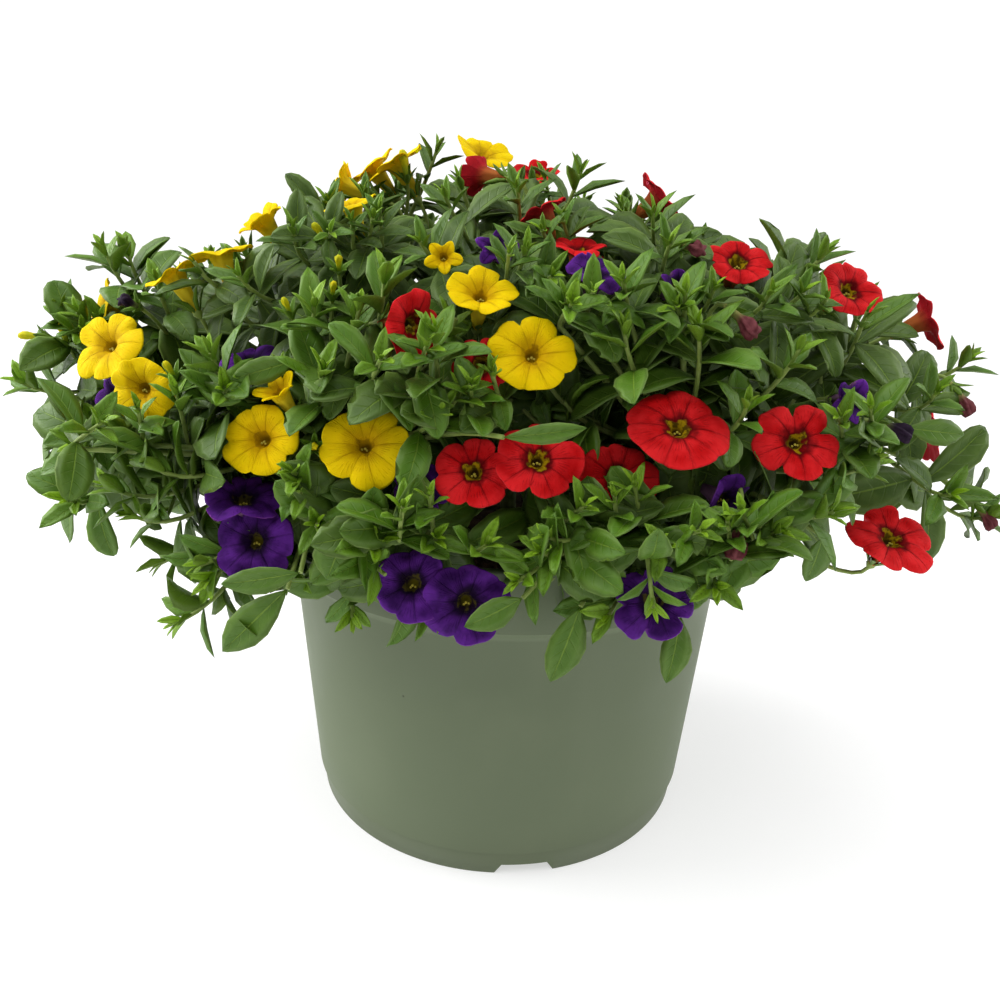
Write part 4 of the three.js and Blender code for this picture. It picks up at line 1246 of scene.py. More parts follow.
@dataclass(frozen=True)
class Corolla:
    """One flower's tube, throat and five joined lobes, as a thin closed shell."""

    lobe_steps: int = 11
    small_width: float = 17 * MM
    thickness: float = 0.35 * MM
    mouth: float = 2.3 * MM  # where the funnel of the face runs into the throat
    funnel_depth: float = 2.6 * MM
    funnel_run: float = 2.1 * MM
    least_lobing: float = 0.08  # depth of the notches between the lobes, as a share of the radius
    most_lobing: float = 0.32
    oval: float = 0.06  # how much wider than tall it is
    droop: float = 0.04  # how much further the lower lobes reach than the upper
    ruffle: float = 0.055
    purple_ruffle: float = 0.15
    mouth_map: float = 0.36  # the map's height at the throat's mouth
    # the throat and the tube: height on the map, radius and depth in millimetres
    throat: tuple = ((0.1, 0.9, -4.8), (0.2, 1.5, -4.2), (0.29, 2.0, -3.4))
    limb: tuple = (0.0, 0.07, 0.16, 0.29, 0.44, 0.6, 0.75, 0.88, 0.96, 1.0)
    outer: tuple = (0.95, 0.8, 0.6, 0.4, 0.22)
    tube: tuple = ((0.32, 3.5, -4.0), (0.25, 3.0, -6.5), (0.16, 2.4, -10.0), (0.08, 1.8, -13.5),
                   (0.0, 1.4, -16.5))
    # anthers and stigma: turn from the flower's lower side, radius, depth and size
    anthers: tuple = ((-42, 1.3, -3.2, 0.45), (38, 1.2, -3.0, 0.42), (0, 0.5, -3.0, 0.5))

    def limb_point(self, bloom: Bloom, share: float, angles: Array) -> tuple[Array, Array]:
        """Radius and height of the face between its throat and its rim.

        Args:
            bloom: the flower.
            share: 0 at the throat's mouth, 1 at the rim.
            angles: degrees round the flower.

        Returns:
            The radii and the heights.
        """
        radius, mouth, seed = bloom.width / 2, self.mouth * bloom.scale, bloom.seed
        lobe = np.floor(angles / 72).astype(int)
        within = angles / 72 - lobe
        off = np.abs(within - 0.5) * 2
        vary, vary_two = (np.array([draw(seed + k, kind) for k in lobe]) for kind in (1, 2))
        join = np.array([draw(seed + k % 5, 3) for k in lobe + (within > 0.5)])
        if bloom.width <= self.small_width:
            notch = 0.44 * off ** 1.4
        else:
            depth = self.least_lobing + (self.most_lobing - self.least_lobing) * draw(seed, 9)
            lobing = depth * (0.6 + 0.8 * join)
            nick = 0.05 * vary_two * np.exp(-((off / 0.2) ** 2))
            notch = lobing * (1 - np.sqrt(1.001 - off ** 2.2)) + nick
        length = 1.03 - notch + (0.12 * vary - 0.05) * (1 - off ** 4)
        length += 0.014 * np.sin(np.radians(angles * 8) + 6 * draw(seed, 4))
        turned = np.radians(angles + bloom.spin)
        length += self.oval * np.cos(2 * turned) - self.droop * np.sin(turned)
        flat = mouth + (radius * (1 + (length - 1) * smooth(share, 0.3, 1.0)) - mouth) * share
        lift = bloom.shut * 1.1 * share ** 0.69
        crease = -0.055 * share * (1 - 0.4 * share) * np.exp(-((off / 0.12) ** 2))
        sinus = -0.13 * share ** 1.5 * off ** 3
        curl = -(0.03 + 0.2 * vary * (1 - off ** 2)) * share ** 5
        ruffle = self.purple_ruffle if bloom.colour is Colour.PURPLE else self.ruffle
        flutter = 0.0
        waves = ((0.05, 2, 2, 0, 5), (0.035, 4, 7, 0, 6), (ruffle, 1.5, 3, 0, 7), (0.3 * ruffle, 1, 5, 7, 8))
        for size, power, count, lag, kind in waves:
            turn = lag * share + np.radians(angles * count) + 6.3 * draw(seed, kind)
            flutter = flutter + size * share ** power * np.sin(turn)
        lobe_tip = 0.08 * (vary_two - 0.5) * share ** 3 * (1 - off ** 2)
        funnel = -self.funnel_depth * bloom.scale * np.exp(-(flat - mouth) / (self.funnel_run * bloom.scale))
        height = flat * math.sin(lift) + radius * (crease + sinus + curl + flutter + lobe_tip) + funnel
        return flat * math.cos(lift), height

    def build(self, draft: MeshDraft, bloom: Bloom) -> None:
        """Adds the flower to the draft: petals as finish 0, anthers as finish 1.

        Args:
            draft: the mesh draft to add to.
            bloom: the flower.
        """
        steps = 5 * self.lobe_steps
        angles = np.arange(steps) * 360 / steps
        sized = bloom.scale * MM
        rings = [(along, draft.add(bloom.place(angles, np.full(steps, radius * sized), depth * sized)))
                 for along, radius, depth in self.throat]
        for share in self.limb:
            points = bloom.place(angles, *self.limb_point(bloom, share, angles))
            rings.append((self.map_height(share), draft.add(points)))
        for (low, lower), (high, upper) in zip(rings, rings[1:]):
            draft.add_wall(lower, upper, (low, high))
        pit = draft.add(bloom.place(0.0, 0.0, -5.1 * sized))[0]
        draft.add_cap(rings[0][1], pit, (0.05, 0.0), inward=True)
        rings = rings[-1:]
        for share in self.outer:
            radii, heights = self.limb_point(bloom, share, angles)
            points = bloom.place(angles, radii + 0.2 * MM, heights - self.thickness)
            rings.append((self.map_height(share), draft.add(points)))
        for along, radius, depth in self.tube:
            wave = 1 + 0.06 * np.cos(np.radians(angles * 5)) * (along > 0.1)
            rings.append((along, draft.add(bloom.place(angles, radius * sized * wave, depth * sized))))
        for (low, lower), (high, upper) in zip(rings, rings[1:]):
            draft.add_wall(lower, upper, (low, high), mark=1.0)
        foot = draft.add(bloom.place(0.0, 0.0, -17.2 * sized))[0]
        draft.add_cap(rings[-1][1], foot, (0.0, 0.0), mark=1.0)
        for k, (turn, radius, depth, size) in enumerate(self.anthers):
            angle = 270 - bloom.spin + turn + 30 * (draw(bloom.seed, k + 7) - 0.5)
            self.add_bead(draft, bloom.place(angle, radius * sized, depth * sized), bloom.axis, size * sized)

    def map_height(self, share: float) -> float:
        """The map's height at a share of the way from the throat's mouth to the rim."""
        return self.mouth_map + (1 - self.mouth_map) * share

    @staticmethod
    def add_bead(draft: MeshDraft, centre: Array, axis: Array, radius: float) -> None:
        """Adds one small rounded body, a little flattened along its axis.

        Args:
            draft: the mesh draft to add to.
            centre: its middle.
            axis: the direction, of length 1.
            radius: its radius in metres.
        """
        rings = []
        for level in np.radians([-45, 0, 45]):
            out = around(axis, np.arange(8) * 45) * math.cos(level) * radius
            rings.append(draft.add(centre + axis * math.sin(level) * radius * 0.7 + out))
        end = axis * radius * 0.7
        draft.add_body(rings, (0, 0.5, 1), centre - end, centre + end, finish=1)


class SmallKind(Enum):
    """What else hangs or stands on the shoots, each with the slot of its flower's colour."""

    BUD = "petal_yellow"
    SPENT_RED = "petal_red"
    SPENT_PURPLE = "petal_purple"


SMALL_FINISHES = {
    SmallKind.BUD: Spent("bud", colour(206, 190, 10), colour(176, 178, 20), colour(150, 168, 40)),
    SmallKind.SPENT_RED: Spent("spent_red", colour(112, 58, 62), colour(88, 36, 42), colour(150, 152, 84)),
    SmallKind.SPENT_PURPLE: Spent("spent_purple", colour(42, 26, 48), colour(26, 12, 32),
                                  colour(108, 112, 66)),
}


@dataclass(frozen=True)
class SmallFlower:
    """A closed bud or a spent flower: a slim tube that ends in a folded, closed limb."""

    kind: SmallKind
    at: tuple[float, float, float]
    turn: float
    tilt: float
    length: float = 15  # in millimetres, as its place is
    steps: int = 20
    sag: float = 1.5
    # share of the length, radius and depth of the folds
    spent: tuple = ((0.0, 0.9, 0.0), (0.25, 1.2, 0.05), (0.45, 1.4, 0.12), (0.58, 2.1, 0.3),
                    (0.72, 3.2, 0.48), (0.87, 3.4, 0.58), (0.96, 2.6, 0.6))
    bud: tuple = ((0.0, 0.8, 0.0), (0.3, 1.0, 0.05), (0.52, 1.3, 0.1), (0.7, 1.9, 0.2), (0.85, 1.8, 0.3),
                  (0.95, 1.0, 0.3))

    @property
    def axis(self) -> Array:
        """The direction that it points."""
        return heading(self.turn, self.tilt)

    @property
    def foot(self) -> Array:
        """Where it stands."""
        return np.array(self.at) * MM

    def spine(self, share: float) -> Array:
        """The place on its middle line at a share of its length, which sags by its weight."""
        return self.foot + self.axis * share * self.length * MM - UP * self.sag * MM * share ** 2

    def build(self, draft: MeshDraft) -> None:
        """Adds the tube and the folded limb to the draft.

        Args:
            draft: the mesh draft to add to.
        """
        rows = self.bud if self.kind is SmallKind.BUD else self.spent
        angles = np.arange(self.steps) * 360 / self.steps
        rings = []
        for share, radius, fold in rows:
            folds = 1 - fold * (0.5 + 0.5 * np.cos(np.radians(angles * 5)))
            reach = radius * self.length * MM / 15 * folds[:, None]
            rings.append(draft.add(self.spine(share) + reach * around(self.axis, angles + 70 * share)))
        near = self.foot - self.axis * 0.5 * MM
        far = self.foot + self.axis * self.length * MM * 0.97 - UP * self.sag * MM
        draft.add_body(rings, [row[0] for row in rows], near, far, mark=1.0)


# Buds and spent flowers: foot in millimetres, degrees to the right of -Y and up, length.
SMALL_ROWS = {
    SmallKind.BUD: [
        [-44, -13, 268, -20, 70, 15], [-66, -60, 246, -40, 55, 12], [-60, -74, 238, 10, 50, 11],
        [-113, -88, 202, -20, 60, 11], [-61, -82, 230, 20, 60, 10], [-74, -84, 224, -30, 65, 10],
        [-174, -36, 202, -30, 75, 14], [-63, -106, 186, 10, 25, 11], [-180, -36, 206, -85, 10, 14],
        [60, 92, 220, 160, 40, 12], [-40, 100, 205, -170, 40, 12],
    ],
    SmallKind.SPENT_RED: [
        [75, -112, 174, -15, -55, 17], [68, -88, 234, 40, -25, 15], [54, -70, 251, 30, 5, 13],
        [160, -58, 206, 50, -45, 13], [182, -48, 158, 60, -40, 13], [-96, 84, 205, -150, -30, 15],
    ],
    SmallKind.SPENT_PURPLE: [
        [122, -84, 197, 70, -10, 15], [-134, -60, 222, -20, 30, 12], [-170, -60, 172, -30, -60, 12],
        [70, 96, 190, 160, -40, 14],
    ],
}
SMALL_FLOWERS = [SmallFlower(kind, (x, y, z), turn, tilt, length) for kind, rows in SMALL_ROWS.items()
                 for x, y, z, turn, tilt, length in rows]


class Flowers:
    """Every open flower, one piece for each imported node, and the small ones."""

    def __init__(self, blooms: Sequence[Bloom], effects: Effects) -> None:
        """Keeps the flowers and builds their finishes.

        Args:
            blooms: all flowers.
            effects: the shared effects.
        """
        self.blooms = blooms
        self.finishes = {tone: tone.value.build(effects) for tone in Colour}
        self.pollen = Pollen().build(effects)
        self.spent = {kind: finish.build(effects) for kind, finish in SMALL_FINISHES.items()}

    def build(self) -> None:
        """Builds each node's flowers as one piece, and each small kind as one."""
        for name in dict.fromkeys(bloom.name for bloom in self.blooms):
            group = [bloom for bloom in self.blooms if bloom.name == name]
            draft = MeshDraft()
            for bloom in group:
                Corolla().build(draft, bloom)
            tone = group[0].colour
            keep(draft.to_object(f"{name}_open", self.finishes[tone], self.pollen), tone.value.name, name)
        for kind in SmallKind:
            draft = MeshDraft()
            for small in SMALL_FLOWERS:
                if small.kind is kind:
                    small.build(draft)
            keep(draft.to_object(f"{kind.name.lower()}_flowers", self.spent[kind]), kind.value)


# ---- Leaves and stems ----


class LeafKind(Enum):
    """Leaf shapes, numbered in the order that their names sort."""

    BROAD = 0
    BROAD_TURNED = 1
    NARROW = 2
    OBLONG = 3
    OBLONG_TURNED = 4
    SEPAL = 5
    LONG = 6


FULL_KINDS = (LeafKind.OBLONG, LeafKind.OBLONG_TURNED, LeafKind.BROAD, LeafKind.BROAD_TURNED)


@dataclass(frozen=True)
class LeafShape:
    """A leaf of length 1 and half width 1, which its place on the plant then sizes."""

    kind: LeafKind
    widest: float
    fullness: float
    arch: float
    fold: float
    twist: float
    stations: tuple[float, ...] = (0.08, 0.25, 0.45, 0.65, 0.84, 0.95)
    thickness: float = 0.016
    half_share: float = 0.2  # a usual leaf's half width as a share of its length
    wave: float = 0.012

    def half(self, along: float) -> float:
        """Half width at a share of the length, as a share of the length."""
        near, far = self.widest * self.fullness, (1 - self.widest) * self.fullness
        return (along / self.widest) ** near * ((1 - along) / (1 - self.widest)) ** far * self.half_share

    def spine(self, along: float) -> Pair:
        """Place along and height of the midrib, which bends on an arc of the same length."""
        return math.sin(self.arch * along) / self.arch, -(1 - math.cos(self.arch * along)) / self.arch

    def row(self, along: float) -> list[list[float]]:
        """Five points across the leaf at a share of its length.

        Args:
            along: share of the length, 0 to 1.

        Returns:
            The five places.
        """
        reach, height = self.spine(along)
        lean, turned = -self.arch * along, math.radians(self.twist * along)
        row = []
        for across in (-1.0, -0.5, 0.0, 0.5, 1.0):
            x = across * self.half(along)
            lift = self.fold * (abs(across) - 0.45 * across ** 2) * self.half(along)
            lift += self.wave * math.sin(9 * along + 2 * across) * abs(across)
            c, s = math.cos(turned), math.sin(turned)
            x, lift = x * c - lift * s, x * s + lift * c
            row.append([x / self.half_share, reach - lift * math.sin(lean), height + lift * math.cos(lean)])
        return row

    def build(self) -> Object:
        """Makes the leaf as a closed blade with a midrib fold.

        Returns:
            The leaf.
        """
        draft = MeshDraft()
        tops, bottoms = [], []
        for along in self.stations:
            row = self.row(along)
            top = draft.add(row)
            middle = draft.add(np.array(row[1:4]) - UP * self.thickness)
            tops.append(top)
            bottoms.append([top[0], *middle, top[4]])
        foot, end = draft.add([[0.0, 0.0, 0.0], [0.0, *self.spine(1.0)]])
        ends = (0.0, *self.stations, 1.0)
        for rows, mark in ((tops, 0.0), (bottoms, 1.0)):
            lines = [[foot] * 5, *rows, [end] * 5]
            for i in range(len(ends) - 1):
                for k in range(4):
                    spots = {}
                    for line, spot in ((i, k), (i, k + 1), (i + 1, k + 1), (i + 1, k)):
                        across = spot / 4 if 0 < line < len(ends) - 1 else 0.5
                        spots[lines[line][spot]] = (across, ends[line])
                    walk = list(spots.items())[::-1 if mark else 1]
                    draft.add_face([corner for corner, _ in walk], [uv for _, uv in walk], mark=mark)
        return draft.to_object(f"leaf_{self.kind.value}", linked=False)


SMALL_STATIONS = (0.16, 0.45, 0.8)
LEAF_SHAPES = [
    LeafShape(LeafKind.BROAD, 0.6, 1.6, 0.6, 0.75, 6),
    LeafShape(LeafKind.BROAD_TURNED, 0.57, 1.65, 1.0, 0.55, -24),
    LeafShape(LeafKind.NARROW, 0.5, 2.2, 0.3, 0.8, 0, SMALL_STATIONS),
    LeafShape(LeafKind.OBLONG, 0.55, 2.0, 0.85, 0.8, 16),
    LeafShape(LeafKind.OBLONG_TURNED, 0.58, 2.1, 0.4, 0.9, -16),
    LeafShape(LeafKind.SEPAL, 0.42, 1.5, 0.45, 0.8, 0, SMALL_STATIONS),
    LeafShape(LeafKind.LONG, 0.53, 2.1, 0.3, 0.4, 6),
]


@dataclass
class LeafPoint:
    """One leaf's place: its foot, the way it runs, the way its face looks, and its size."""

    foot: Array
    along: Array
    face: Array
    length: float
    width: float
    age: float
    kind: LeafKind
    tint: float

    def points(self) -> Array:
        """A few points of the leaf, for keeping it clear of the flowers.

        Returns:
            The places.
        """
        side = np.cross(self.along, self.face) * self.width / 2
        shares = np.array([0.35, 0.65, 0.98])[:, None]
        line = self.foot + self.along * shares * self.length - self.face * 0.2 * shares ** 2 * self.length
        return np.concatenate([line, line[:2] + side, line[:2] - side])


@dataclass
class StemLine:
    """One stem: its points with a radius at each, and its age from 0, old, to 1."""

    points: Array
    radii: Array
    age: float


def dense(path: Array) -> Array:
    """A path's points with two more between each pair."""
    between = [path[:-1] + share * np.diff(path, axis=0) for share in (0, 1 / 3, 2 / 3)]
    return np.concatenate([*between, path[-1:]])


@dataclass(frozen=True)
class Clearance:
    """How far stems and leaves keep off a flower."""

    limb_back: float = -4 * MM  # the open face takes the room between these heights
    limb_front: float = 2 * MM
    beside: float = 1 * MM
    tube_depth: float = 12 * MM
    tube_radius: float = 4 * MM
    before: float = 16 * MM  # and stays free this far before it, over this share of its radius
    before_share: float = 0.62
    sight_share: float = 0.78  # share of the radius that must be seen


class Room:
    """Keeps leaves out of the flowers and out of the way of their faces."""

    def __init__(self, blooms: Sequence[Bloom]) -> None:
        """Gathers the flowers' places as arrays.

        Args:
            blooms: all flowers.
        """
        self.clear = Clearance()
        self.centres = np.array([bloom.at for bloom in blooms])
        self.axes = np.array([bloom.axis for bloom in blooms])
        self.radii = np.array([bloom.width / 2 for bloom in blooms])
        self.open = np.array([bloom.name not in HALF_HIDDEN for bloom in blooms])
        self.facing = self.centres[:, 1] < 0
        low, high = np.array(CAD_BOX)
        margin = 0.012 * (high - low)
        self.low, self.high = low - margin, high + margin
        self.low[2] = 4 * MM

    def is_inside(self, points: Array) -> bool:
        """Whether all points lie within the part's box."""
        return bool(np.all(points >= self.low) and np.all(points <= self.high))

    def meets_flower(self, points: Array, seen: bool = True) -> bool:
        """Whether points get in a flower's way.

        Args:
            points: the places to test.
            seen: whether the flower's line of sight and the room before its face count too.

        Returns:
            True where a point lies in a flower, or in the room that it must leave free.
        """
        clear = self.clear
        offset = points[:, None, :] - self.centres[None]
        height = np.einsum("pbk,bk->pb", offset, self.axes)
        radial = np.linalg.norm(offset - height[..., None] * self.axes[None], axis=2)
        limb = (height > clear.limb_back) & (height < clear.limb_front)
        limb &= radial < self.radii + clear.beside
        tube = (height > -clear.tube_depth) & (height < 0) & (radial < clear.tube_radius)
        before = (height > 0) & (height < clear.before) & self.open
        before &= radial < clear.before_share * self.radii
        if np.any(limb | tube | (before & seen)):
            return True
        if not seen:
            return False
        ray = points - VIEWPOINT
        slope = ray @ self.axes.T
        reach = np.einsum("bk,bk->b", self.centres - VIEWPOINT, self.axes)
        ratio = reach[None] / np.where(np.abs(slope) < 1e-6, 1e-6, slope)
        hit = VIEWPOINT + ray[:, None, :] * ratio[..., None]
        over = np.linalg.norm(hit - self.centres[None], axis=2) < clear.sight_share * self.radii
        return bool(np.any((ratio > 1.0) & over & self.open & self.facing))


@dataclass(frozen=True)
class ShootHabit:
    """How leaves stand on a shoot, from the youngest at the tip downwards."""

    first_gap: float = 0.5 * MM
    gap: float = 0.55 * MM
    gap_growth: float = 0.17 * MM
    first_length: float = 6.5 * MM
    length_growth: float = 1.1 * MM
    length_surge: float = 0.16 * MM
    longest: float = 27.5 * MM
    first_width: float = 0.25
    width_growth: float = 0.015
    widest: float = 0.43
    first_spread: float = 12
    spread_growth: float = 6.6
    most_spread: float = 88
    leaves: int = 20
    young_leaves: int = 12  # on a young shoot before a flower
    inner_order: int = 7  # a shoot within the mound has shed as many young leaves
    narrow_leaves: int = 7
    leafy_share: float = 0.86  # how far down the stem leaves stand
    # how a leaf gives way to a flower: turn in degrees, size and lean
    ways: tuple = ((0, 1, 0), (30, 1, 0), (-30, 1, 0), (0, 0.75, -14), (55, 0.8, 0),
                   (-55, 0.8, -8), (0, 0.5, -20))


class Draws(Enum):
    """The first number of each kind of shoot's draws."""

    HAND_SET = 0
    OUTER = 100
    LAYERS = 2000
    HANGING = 4000
    INNER = 4500
    RIM = 4600
    FILL = 5000
    COVERS = 7000


class Plant:
    """Grows the stems and leaf places of every green, clear of the flowers."""

    def __init__(self, blooms: Sequence[Bloom]) -> None:
        """Starts with nothing grown.

        Args:
            blooms: all flowers.
        """
        self.blooms = blooms
        self.room = Room(blooms)
        self.habit = ShootHabit()
        self.leaves: dict[str, list[LeafPoint]] = {green.name: [] for green in GREENS}
        self.stems: dict[str, list[StemLine]] = {green.name: [] for green in GREENS}

    def nearest(self, place: Array) -> Green:
        """The green whose inner room lies nearest to a place."""
        return min(GREENS, key=lambda green: green.gap_to(place))

    def grow(self) -> None:
        """Grows necks, flower stalks, shoots and hanging leaves."""
        for green in GREENS:
            self.grow_neck(green)
        for bloom in self.blooms:
            self.grow_stalk(bloom)
        for small in SMALL_FLOWERS:
            self.grow_small_stalk(small)
        mound = Mound()
        face = [mound.face_place(right * MM, height * MM) for right, height in FACE_SHOOTS]
        hand_set = [*np.array(SHOOT_TIPS) * MM, *face]
        outer = mound.fill(hand_set, [bloom.at for bloom in self.blooms], mound.outer, mound.spacing, 0)
        self.grow_shoots(hand_set, Draws.HAND_SET.value, 1.0)
        for number, (tip, way) in enumerate(self.covers()):
            self.grow_shoot(tip, Draws.COVERS.value + number, 0.85, way=way)
        self.grow_shoots(outer, Draws.OUTER.value, 0.9)
        for layer, (size, spacing) in enumerate(mound.layers):
            inner = mound.fill([], [], size, spacing, Draws.FILL.value + 700 * layer)
            self.grow_shoots(inner, Draws.LAYERS.value + 500 * layer, 0.9, inner=True)
        self.grow_shoots(np.array(INNER_SHOOTS) * MM, Draws.INNER.value, 0.9, inner=True)
        self.grow_shoots(np.array(RIM_SHOOTS) * MM, Draws.RIM.value, 0.95)
        for number, row in enumerate(HANGING_LEAVES):
            self.grow_hanging_leaf(row, Draws.HANGING.value + number)

    def covers(self) -> list[tuple[Array, Array]]:
        """Tips of the young shoots before the half hidden flowers, and where each passes the flower.

        Returns:
            Pairs of a tip and a place to pass.
        """
        tips = []
        for number, bloom in enumerate(self.blooms):
            if bloom.name in HALF_HIDDEN:
                towards = unit(VIEWPOINT - bloom.at)
                side = unit(np.cross(towards, UP))
                low = bloom.at[2] < 150 * MM
                count = 1 if low else 3 if bloom.width > 18 * MM else 2
                for k in range(count):
                    shift = (draw(number, 41 + k) - 0.5 + (k - 0.5 * (count - 1))) * 0.35 * bloom.width
                    tip = bloom.at + towards * (14 + 4 * k) * MM + side * shift - UP * (2 + 4 * k) * MM
                    past = (0.5 * bloom.width + 7 * MM) * (1 if low else -1)
                    tips.append((tip, bloom.at + UP * past + side * 1.6 * shift + towards * 5 * MM))
        return tips

    def add_stem(self, green: Green, points: Array, thick: float, thin: float, age: float) -> None:
        """A stem that branches off the upper part of the green's neck, its radii in millimetres.

        Args:
            green: the green to work on.
            points: the line of the stem.
            thick: radius at the root, in millimetres.
            thin: radius at the tip, in millimetres.
            age: 0 for an old stem, 1 for a young one.
        """
        fork = green.neck_line()[3 + int(5 * draw(points[-1][0] * 1000, points[-1][2] * 1000))]
        radii = np.array([1.3, *np.linspace(thick, thin, len(points))]) * MM
        self.stems[green.name].append(StemLine(np.concatenate([[fork], points]), radii, age))

    def add_sepal(self, green: Green, foot: Array, axis: Array, out: Array, lean: float, size: Pair,
                  number: int) -> None:
        """One leaf of a flower's calyx.

        Args:
            green: the green that it belongs to.
            foot: where it stands.
            axis: the flower's direction.
            out: the sepal's direction away from the flower's middle.
            lean: how far it leans outwards.
            size: its length and width.
            number: its number in the calyx.
        """
        along = unit(axis + out * lean)
        face = square_part(unit(-out + axis * 0.3), along)
        leaf = LeafPoint(foot, along, face, *size, 0.62, LeafKind.SEPAL, draw(number, 3))
        self.leaves[green.name].append(leaf)

    def grow_neck(self, green: Green) -> None:
        """A stout neck from the soil up into the green's room.

        Args:
            green: the green to work on.
        """
        line = green.neck_line()
        points = np.array([line[0] - UP * 27 * MM, *line])
        radii = np.linspace(0.8, 0.45, len(points)) * green.neck_radius * MM
        self.stems[green.name].append(StemLine(points, radii, 0.1))

    def grow_stalk(self, bloom: Bloom) -> None:
        """The stalk and the leafy calyx of a flower.

        Args:
            bloom: the flower.
        """
        sized = bloom.scale * MM
        control, end, cup = (bloom.place(0.0, 0.0, depth * sized) for depth in (-34, -18.5, -14.5))
        green = self.nearest(end)
        self.add_stem(green, curve_points([green.root_of(control), control, end], 9), 0.95, 0.75, 0.75)
        swollen = np.array([end, 0.5 * (end + cup), cup])
        self.stems[green.name].append(StemLine(swollen, np.array([0.8, 1.9, 1.6]) * sized, 0.8))
        for k in range(5):
            angle = k * 72 + 20
            foot = bloom.place(angle, 1.2 * sized, -16.5 * sized)
            lean = 0.34 + 0.25 * draw(k, bloom.at[0] * 1000)
            size = ((9 + 3 * draw(k, bloom.at[2] * 1000)) * sized, 2.6 * sized)
            self.add_sepal(green, foot, bloom.axis, around(bloom.axis, angle + bloom.spin), lean, size, k)

    def grow_small_stalk(self, small: SmallFlower) -> None:
        """The stalk and the five sepals of a bud or a spent flower.

        Args:
            small: the bud or spent flower.
        """
        axis, foot = small.axis, small.foot
        control = foot - axis * 12 * MM
        green = self.nearest(foot)
        self.add_stem(green, curve_points([green.root_of(control), control, foot], 8), 0.9, 0.7, 0.75)
        for k in range(5):
            lean = 0.3 + 0.3 * draw(k, small.at[0])
            out = around(axis, 72 * k + 15)
            self.add_sepal(green, foot - axis * MM, axis, out, lean, (9 * MM, 2.6 * MM), k)

    def shoot_path(self, green: Green, tip: Array, number: int, share: float | None,
                   way: Array | None) -> Array:
        """Points of a shoot's stem, which ends turned upwards.

        Args:
            green: the green that it leaves from.
            tip: where its youngest leaves stand.
            number: the draw's number.
            share: how far out in the green's room it starts, if not where others do.
            way: a place that it passes on its way, if any.

        Returns:
            Points from its root to its tip.
        """
        root = green.root_of(tip, share)
        sway = np.array([draw(number, 31) - 0.5, draw(number, 32) - 0.5, 0.4 * (draw(number, 33) - 0.5)])
        if way is not None:
            way = way + sway * 10 * MM
            last = curve_points([way, way + UP * 2 * MM, tip], 5)
            return np.concatenate([np.linspace(root, way, 6)[:-1], last])
        span, outward = length_of(tip - root), unit(tip - root)
        rise = 0.75 if tip[2] > 150 * MM else 0.2
        end = unit(outward + UP * rise + 0.7 * sway)
        first = root + outward * 0.4 * span + UP * 0.08 * span
        return curve_points([root, first, tip - end * 0.36 * span, tip], 10)

    def grow_shoots(self, tips: Iterable[Array], first: int, vigour: float, inner: bool = False) -> None:
        """Shoots to each of the tips, whose draws' numbers start at the first."""
        for number, tip in enumerate(tips, first):
            self.grow_shoot(tip, number, vigour, inner)

    def grow_shoot(self, tip: Array, number: int, vigour: float, inner: bool = False,
                   way: Array | None = None) -> None:
        """One shoot: its stem and its spiral of leaves.

        Args:
            tip: where the youngest leaves stand.
            number: the shoot's own number, for its draws.
            vigour: size of its leaves against a strong shoot's.
            inner: whether it stands within the mound, with older, larger leaves.
            way: a place that its stem passes, if any.
        """
        green, habit = self.nearest(tip), self.habit
        share = RIM_ROOT if 0 <= number - Draws.RIM.value < len(RIM_SHOOTS) else None
        paths = [self.shoot_path(green, tip, number + 900 * k, share, way) for k in range(6)]
        clear = [path for path in paths if not self.room.meets_flower(dense(path[2:]), seen=False)]
        if not clear:
            return
        unseen = [path for path in clear if not self.room.meets_flower(path[3:])]
        path = (unseen or clear)[0]
        back = path[::-1]
        reach = np.concatenate([[0], np.cumsum(np.linalg.norm(np.diff(back, axis=0), axis=1))])
        self.add_stem(green, path, 1.15, 0.7, 0.35 if inner else 0.7)
        size = vigour * (0.88 + 0.24 * draw(number, 12))
        first = habit.inner_order if inner else 0
        leaves = habit.leaves - green.bare - first if way is None else habit.young_leaves
        for j in range(leaves):
            order = j + first
            distance = habit.first_gap + habit.gap * order + habit.gap_growth * order ** 2
            if distance > habit.leafy_share * reach[-1] and j > 3:
                break
            distance = min(distance, habit.leafy_share * reach[-1])
            foot, ahead, behind = (
                np.array([np.interp(max(distance + step, 0), reach, back[:, k]) for k in range(3)])
                for step in (0, -2 * MM, 2 * MM))
            angle = 360 * draw(number, 11) + GOLDEN * j
            self.set_leaf(green, foot, unit(ahead - behind), number, order, angle, size)

